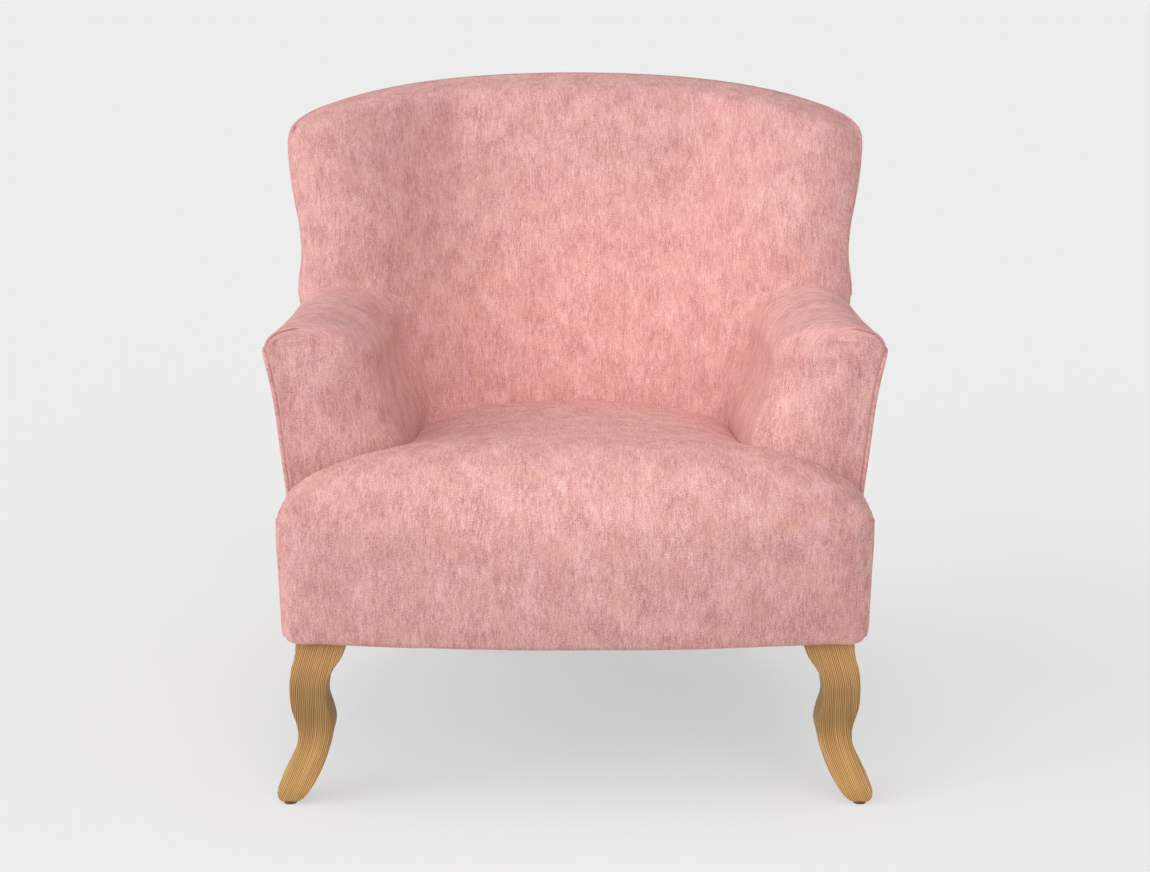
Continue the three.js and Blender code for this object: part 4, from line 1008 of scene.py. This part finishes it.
for side, word in bothSides:
    makeFrontLeg(side, word, frontLeg)
    makeRearLeg(side, word, rearLeg)
print("legs made")


# cloth on the frame: elastic webbing up the back, hessian over the springs and the lining under the seat

webbing = {
    "at": [-105.35, 0, 105.35], "half": 25, "foot": 305, "drop": 48, "inset": 46.7, "bow": 1.5,
    "thickness": 1.6, "columns": 7, "rows": 90,
}
hessian = {
    "half": 205, "front": 40, "rear": 6, "height": 295.3, "rise": 2.5, "fullness": 0.7, "wave": 0.4,
    "waveX": 16, "waveDepth": 19, "thickness": 1.0, "columns": 60, "rows": 80,
}
lining = {
    "half": 341, "front": 16, "rear": 12, "height": 201.1, "sag": 3, "wave": 0.5, "waveX": 23, "waveTurn": 7,
    "thickness": 0.6, "columns": 61, "rows": 70,
}


def stretched(name, points, facts, slot, material, node):
    piece = meshOf(name, [(points, clothOn(points, points.shape[1] // 2))], weld=0.00005)
    withModifier(piece, "SOLIDIFY", {"thickness": facts["thickness"] / 1000, "offset": 0.0})
    dress(piece, slot, material, node)
    up = along(points.transpose(1, 0, 2)).max()


def makeWebbing():
    for number, centre in enumerate(webbing["at"], 1):
        x = centre + np.linspace(-webbing["half"], webbing["half"], webbing["columns"])[None, :]
        share = steps(webbing["rows"])[:, None]
        z = mix(webbing["foot"], archHeight(x) - webbing["drop"], share)
        bow = webbing["bow"] * np.sin(math.pi * share) * np.cos((x - centre) / webbing["half"])
        points = inMetres(x, rearFaceAt(x, z) - webbing["inset"] - bow, z)
        stretched(f"back_webbing_strap_{number}", points, webbing, "webbing", elasticBand,
                  f"back_webbing_{number}")


def makeHessian():
    half, height = hessian["half"], hessian["height"]
    x = np.linspace(-half, half, hessian["columns"])[None, :]
    share = steps(hessian["rows"])[:, None]
    depth = mix(hessian["front"], rearFaceAt(x, np.full_like(x, height)) - hessian["rear"], share)
    arc = np.sin(math.pi * share)
    rise = arc * np.cos(x / half * math.pi / 2)
    wave = hessian["wave"] * np.sin(x / hessian["waveX"]) * np.sin(depth / hessian["waveDepth"])
    z = height + hessian["rise"] * rise ** hessian["fullness"] + wave * arc
    stretched("seat_hessian_cloth", inMetres(x, depth, z), hessian, "hessian", juteCloth,
              "seat_hessian")


def makeLining():
    half = lining["half"]
    x = half * np.sin(np.linspace(-math.pi / 2, math.pi / 2, lining["columns"]))[None, :]
    front = seatFront(x) + lining["front"]
    rear = whole["seam"] + (back["rearLow"] - whole["seam"] - lining["rear"]) * quarter(np.abs(x) / half)
    share = steps(lining["rows"])[:, None]
    wave = lining["wave"] * np.sin(x / lining["waveX"] + share * lining["waveTurn"])
    lift = (wave - lining["sag"]) * np.sin(math.pi * share) * (1 - (x / half) ** 2)
    points = inMetres(x, mix(front, rear, share), lining["height"] + lift)
    stretched("dust_cover_lining", points, lining, "lining", liningBlack,
              "dust_cover")


makeWebbing()
makeHessian()
makeLining()
print("inner cloth made")


# what is left of the frame keeps its solids and takes its finish

finishes = {"rail": beech, "block": beech, "post": beech, "spring": springSteel, "bolt": springSteel,
            "glide": glideNylon}
for name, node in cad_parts.items():
    for word, finish in finishes.items():
        if word in name:
            node.data.materials.clear()
            node.data.materials.append(finish)
print("frame finished")


# floor and light

studio = {
    "half": 300, "floor": "#ffffff", "floorGlow": 0.498, "floorShade": 0.345, "world": 0.2, "horizon": 0.855,
    "lamps": [  # where the light comes from, and how strong it is
        ("key", (-0.74, -0.56, 0.44), 1.2), ("left", (-1, -0.1, 0.35), 1.5), ("top", (0, 0, 1), 0.78),
        ("right", (1, -0.1, 0.35), 0.5), ("front", (0.2, -0.8, 0.6), 1.0),
    ],
    "spread": 50,
    "spot": {"place": (0.1, -2.4, 1.15), "toward": (0, 0.17, 0.5), "angle": 16, "power": 168, "size": 0.25},
}


def makeFloor():
    half = studio["half"]
    mesh = bpy.data.meshes.new("floor")
    corners = [(-half, -half, 0), (half, -half, 0), (half, half, 0), (-half, half, 0)]
    mesh.from_pydata(corners, [], [(0, 1, 2, 3)])
    material, add = emptied(bpy.data.materials.new("pale_studio_floor"))
    glow = add("Emission", {"Color": studio["floor"], "Strength": studio["floorGlow"]})
    matt = add("BsdfDiffuse", {"Color": linear(studio["floorShade"])})
    both = add("AddShader", None, {0: glow, 1: matt})
    add("OutputMaterial", None, {"Surface": both})
    mesh.materials.append(material)
    inScene("floor", mesh)


def makeLight(name, kind, direction, power, settings):
    lamp = bpy.data.lights.new(name, kind)
    setAll(lamp, {"energy": power, **settings})
    piece = inScene(name, lamp)
    piece.rotation_euler = Vector(direction).to_track_quat("Z", "Y").to_euler()
    return piece


def makeLights():
    for name, direction, power in studio["lamps"]:
        makeLight(name, "SUN", direction, power, {"angle": math.radians(studio["spread"])})
    spot = studio["spot"]  # a soft pool of light on the inside of the back
    direction = Vector(spot["place"]) - Vector(spot["toward"])
    settings = {"spot_size": math.radians(spot["angle"]), "spot_blend": 1.0, "shadow_soft_size": spot["size"]}
    makeLight("back_light", "SPOT", direction, spot["power"], settings).location = spot["place"]


def makeWorld():  # dim light, and behind the floor the same pale tone
    world, add = emptied(bpy.data.worlds.new("studio"))
    seen = add("LightPath").outputs["Is Camera Ray"]
    stops = [(0, studio["world"]), (1, studio["horizon"])]
    tone = add("ValToRGB", {"stops": stops}, {0: seen})
    sky = add("Background", None, {"Color": tone})
    add("OutputWorld", None, {"Surface": sky})
    scene.world = world


makeFloor()
makeLights()
makeWorld()
print("studio made")
